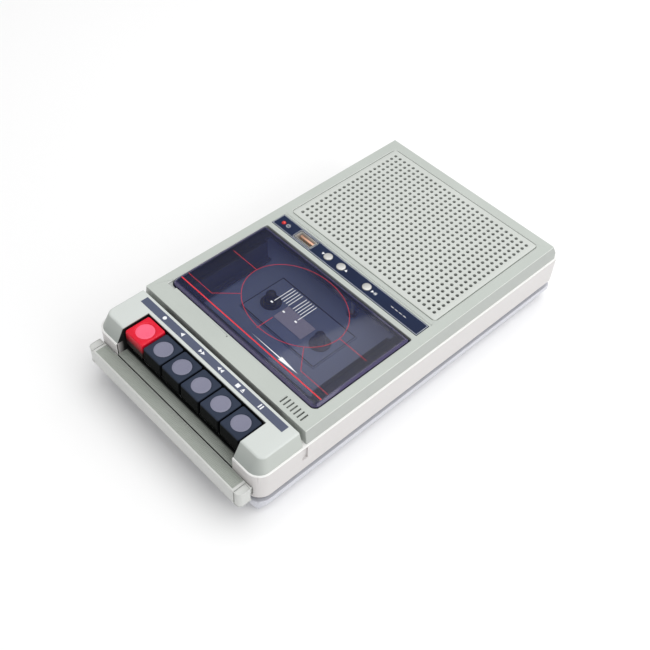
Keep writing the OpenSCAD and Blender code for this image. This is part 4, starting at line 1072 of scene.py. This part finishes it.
def handleBar():
    # the bar's section, an angle open below and behind, carried along X
    h = handleShape
    low, high = barLow, barHigh
    t, e = h["wall"], h["edge"]
    top = high.z - h["ribRise"]
    section = [(high.y, top), (high.y, top - t), (low.y + t, top - t), (low.y + t, low.z), (low.y + 0.3 * mm, low.z),
               (low.y, low.z + 0.3 * mm)]
    section += [(low.y, z) for z in np.linspace(low.z + 2 * mm, top - e - 1 * mm, 3)]
    for turn in np.linspace(0, tau / 4, 5):
        section.append((low.y + e * (1 - math.cos(turn)), top - e * (1 - math.sin(turn))))
    section = np.array(section)
    rows = [np.column_stack([np.full(len(section), x), section]) for x in np.linspace(low.x, high.x, 24)]
    return skin(rows, capStart=True, capEnd=True)


def handleCaps():
    # rounded end blocks; the outer front corner has the larger radius, the inner side stays square
    h = handleShape
    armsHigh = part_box("handle_arms")[1]
    parts = []
    for side in (-1, 1):
        xIn, xOut = side * (barHigh.x + 0.2 * mm), side * armsHigh.x
        r = h["corner"]
        turn = np.linspace(0, tau / 4, 9)
        corner = np.stack([xOut - side * r * (1 - np.sin(turn)), barLow.y + r * (1 - np.cos(turn))], -1)
        outline = np.vstack([[[xIn + side * 0.1 * mm, barLow.y]], corner,
                             [[xOut, barHigh.y], [xIn + side * 0.1 * mm, barHigh.y]]])
        middle = outline.mean(0)
        rows = []
        for z, way in ((barLow.z, -1), (barHigh.z, 1)):
            for bend in np.linspace(0, tau / 4, 4)[::-way]:
                inset = 0.4 * mm * (1 - math.cos(bend))
                pulled = outline + (middle - outline) * (inset / (3 * mm))
                height = z - way * 0.4 * mm * (1 - math.sin(bend))
                rows.append(np.column_stack([pulled, np.full(len(outline), height)]))
        parts.append(skin(rows, capStart=True, capEnd=True))
        armX = side * (armsHigh.x - 3 * mm)
        hook = sorted([armX - side * 3.1 * mm, armX + side * 1.6 * mm])
        arm = (armX - 1.6 * mm, armX + 1.6 * mm)
        for (xLow, xHigh), start in ((arm, barHigh.y - 0.5 * mm), (hook, armsHigh.y - 5 * mm)):
            parts.append(roundedBox((xLow, start, h["armLow"]), (xHigh, armsHigh.y, h["armHigh"]),
                                    0.5 * mm, 0.5 * mm))
    return parts


ribInset = 1.6 * mm
makePiece("handleBar", [handleBar()], finishes["handle"], node="handle_bar",
          hides=("handle_bar",), smooth=50)
makePiece("handleRibs", [ribRow(barLow.x + ribInset, barHigh.x - ribInset, barLow.y + 1.2 * mm, barHigh.y - 0.2 * mm,
                                barHigh.z - handleShape["ribRise"], handleShape["ribPitch"], handleShape["ribRise"])],
          finishes["ledge"], node="handle_bar", smooth=50)
makePiece("handleArms", handleCaps(), finishes["handle"], node="handle_arms",
          hides=("handle_arms",), smooth=40)
print("handle made")


wheelShape = {"ridges": 48, "ridgeDepth": 0.3 * mm, "shaft": 2.56 * mm, "edge": 0.3 * mm}


def thumbWheel(node):
    # a disc whose rim swings in and out with the angle, so it has fine upright ridges
    w = wheelShape
    low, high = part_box(node)
    r = (high.x - low.x) / 2
    count = w["ridges"] * 6
    angles = np.arange(count) * tau / count
    ridge = 1 - w["ridgeDepth"] / r * (0.5 - 0.5 * np.cos(angles * w["ridges"])) ** 1.5
    rows = []
    for radius, z, ridged in ((w["shaft"], low.z, 0), (r - 1.2 * mm, low.z, 0), (r - w["edge"], low.z, 1),
                              (r, low.z + w["edge"], 1), (r, high.z - w["edge"], 1), (r - w["edge"], high.z, 1),
                              (r - 1.2 * mm, high.z, 0), (r - 1.6 * mm, high.z - 0.5 * mm, 0),
                              (w["shaft"], high.z - 0.5 * mm, 0), (w["shaft"], low.z, 0)):
        rows.append(ring(middle(low, high), radius * (ridge if ridged else np.ones(count)), angles, z))
    return skin(rows)


for node, name in (("volume_wheel", "volumeWheel"), ("tone_wheel", "toneWheel")):
    makePiece(name, [thumbWheel(node)], finishes["black"], node=node, hides=(node,),
              smooth=50, merge=True)


def footProfile(low, high, r):
    return [(0.05 * mm, high), (r, high), (r, low + 0.5 * mm), (r - 0.15 * mm, low + 0.15 * mm), (r - 0.5 * mm, low),
            (r - 1.3 * mm, low), (r - 1.5 * mm, low + 0.4 * mm), (r - 2.1 * mm, low + 0.4 * mm), (r - 2.3 * mm, low),
            (0.05 * mm, low)]


def mirroredCentres(node):
    # the middles of the node's separate solids, from its points sorted into the four quarters
    mesh = frame["nodes"][node].data
    points = np.empty(len(mesh.vertices) * 3)
    mesh.vertices.foreach_get("co", points)
    points = points.reshape(-1, 3)
    middleY = points[:, 1].mean()
    centres = []
    for sideX in (-1, 1):
        for rear in (False, True):
            group = points[(points[:, 0] * sideX > 0) & ((points[:, 1] > middleY) == rear)]
            centres.append((group.min(0) + group.max(0)) / 2)
    return centres


feetLow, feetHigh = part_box("rubber_feet")
footRadius = 4.5 * mm
makePiece("rubberFeet", [lathe(c[:2], footProfile(feetLow.z, feetHigh.z, footRadius), 40)
                         for c in mirroredCentres("rubber_feet")],
          finishes["rubber"], node="rubber_feet", hides=("rubber_feet",), smooth=35)

screwLow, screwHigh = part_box("case_screws")


def caseScrew(c):
    # shank and a pan head with a rounded edge
    low, shank, head = screwLow.z, 1.25 * mm, 2.7 * mm
    profile = [(0.05 * mm, screwHigh.z), (shank, screwHigh.z), (shank, low + 2.2 * mm), (head, low + 2.2 * mm),
               (head, low + 0.9 * mm), (head - 0.35 * mm, low + 0.35 * mm), (head - 1.1 * mm, low + 0.08 * mm),
               (0.05 * mm, low)]
    return lathe(c[:2], profile, 32)


def driverSlots(c):
    z, long, narrow = screwLow.z - 0.02 * mm, 1.4 * mm, 0.28 * mm
    return [bar(c[0], c[1], long, narrow, z, z + 0.05 * mm),
            bar(c[0], c[1], narrow, long, z - 0.01 * mm, z + 0.04 * mm)]


screwCentres = mirroredCentres("case_screws")
makePiece("caseScrews", [caseScrew(c) for c in screwCentres], finishes["steel"], node="case_screws",
          hides=("case_screws",), smooth=35)
makePiece("driverSlots", [part for c in screwCentres for part in driverSlots(c)], finishes["black"],
          node="case_screws", smooth=35)
print("small parts made")


studio = {"floorColour": (0.95, 0.95, 0.95, 1.0), "overheadPower": 17.0, "sidePower": 4.0, "frontPower": 0.8,
          "worldPower": 0.52}


def softFloor():
    p = Paint("studioFloor")
    drift = p.noise(3, 2)
    colour = p.mix(drift, tuple(c * 0.985 for c in studio["floorColour"][:3]) + (1.0,), studio["floorColour"])
    return p.finish(colour=colour, rough=0.75 + drift * 0.1, specular=0.2)


def areaLight(name, place, target, size, power):
    lamp = bpy.data.lights.new(name, "AREA")
    lamp.size, lamp.energy = size, power
    obj = bpy.data.objects.new(name, lamp)
    bpy.context.scene.collection.objects.link(obj)
    away = Vector(place) - Vector(target)
    obj.matrix_world = Matrix.Translation(place) @ away.to_track_quat("Z", "Y").to_matrix().to_4x4()


floorSize = 6.0
floorMesh = bpy.data.meshes.new("studioFloor")
floorMesh.from_pydata([(-floorSize, -floorSize, 0), (floorSize, -floorSize, 0), (floorSize, floorSize, 0),
                       (-floorSize, floorSize, 0)], [], [(0, 1, 2, 3)])
floorObject = bpy.data.objects.new("studioFloor", floorMesh)
bpy.context.scene.collection.objects.link(floorObject)
floorMesh.materials.append(softFloor())

world = bpy.data.worlds.new("studioWorld")
world.use_nodes = True
worldLight = world.node_tree.nodes["Background"]
worldLight.inputs["Color"].default_value = (1.0, 1.0, 1.0, 1.0)
worldLight.inputs["Strength"].default_value = studio["worldPower"]
bpy.context.scene.world = world
areaLight("overheadLight", (0.2, 0.4, 1.3), (0, 0, 0.02), 2.0, studio["overheadPower"])
areaLight("sideLight", (1.15, 0.1, 0.6), (0, 0, 0.02), 0.9, studio["sidePower"])
areaLight("frontLight", (-0.5, -1.1, 0.7), (0, 0, 0.02), 0.9, studio["frontPower"])
bpy.context.scene.view_settings.view_transform = "Standard"

camera = {"place": (0.2753, -0.2907, 0.4637), "forward": (-0.45585, 0.47454, -0.75301),
          "right": (0.684884, 0.727337, 0.043752), "lens": 54.49}
lensData = bpy.data.cameras.new("mainCamera")
lensData.lens = camera["lens"]
lensData.clip_start = 0.01
cameraObject = bpy.data.objects.new("mainCamera", lensData)
bpy.context.scene.collection.objects.link(cameraObject)
back = -Vector(camera["forward"]).normalized()
right = Vector(camera["right"])
right = (right - back * right.dot(back)).normalized()
upward = back.cross(right)
turnMatrix = Matrix((right, upward, back)).transposed().to_4x4()
cameraObject.matrix_world = Matrix.Translation(camera["place"]) @ turnMatrix
bpy.context.scene.camera = cameraObject
print("studio ready")
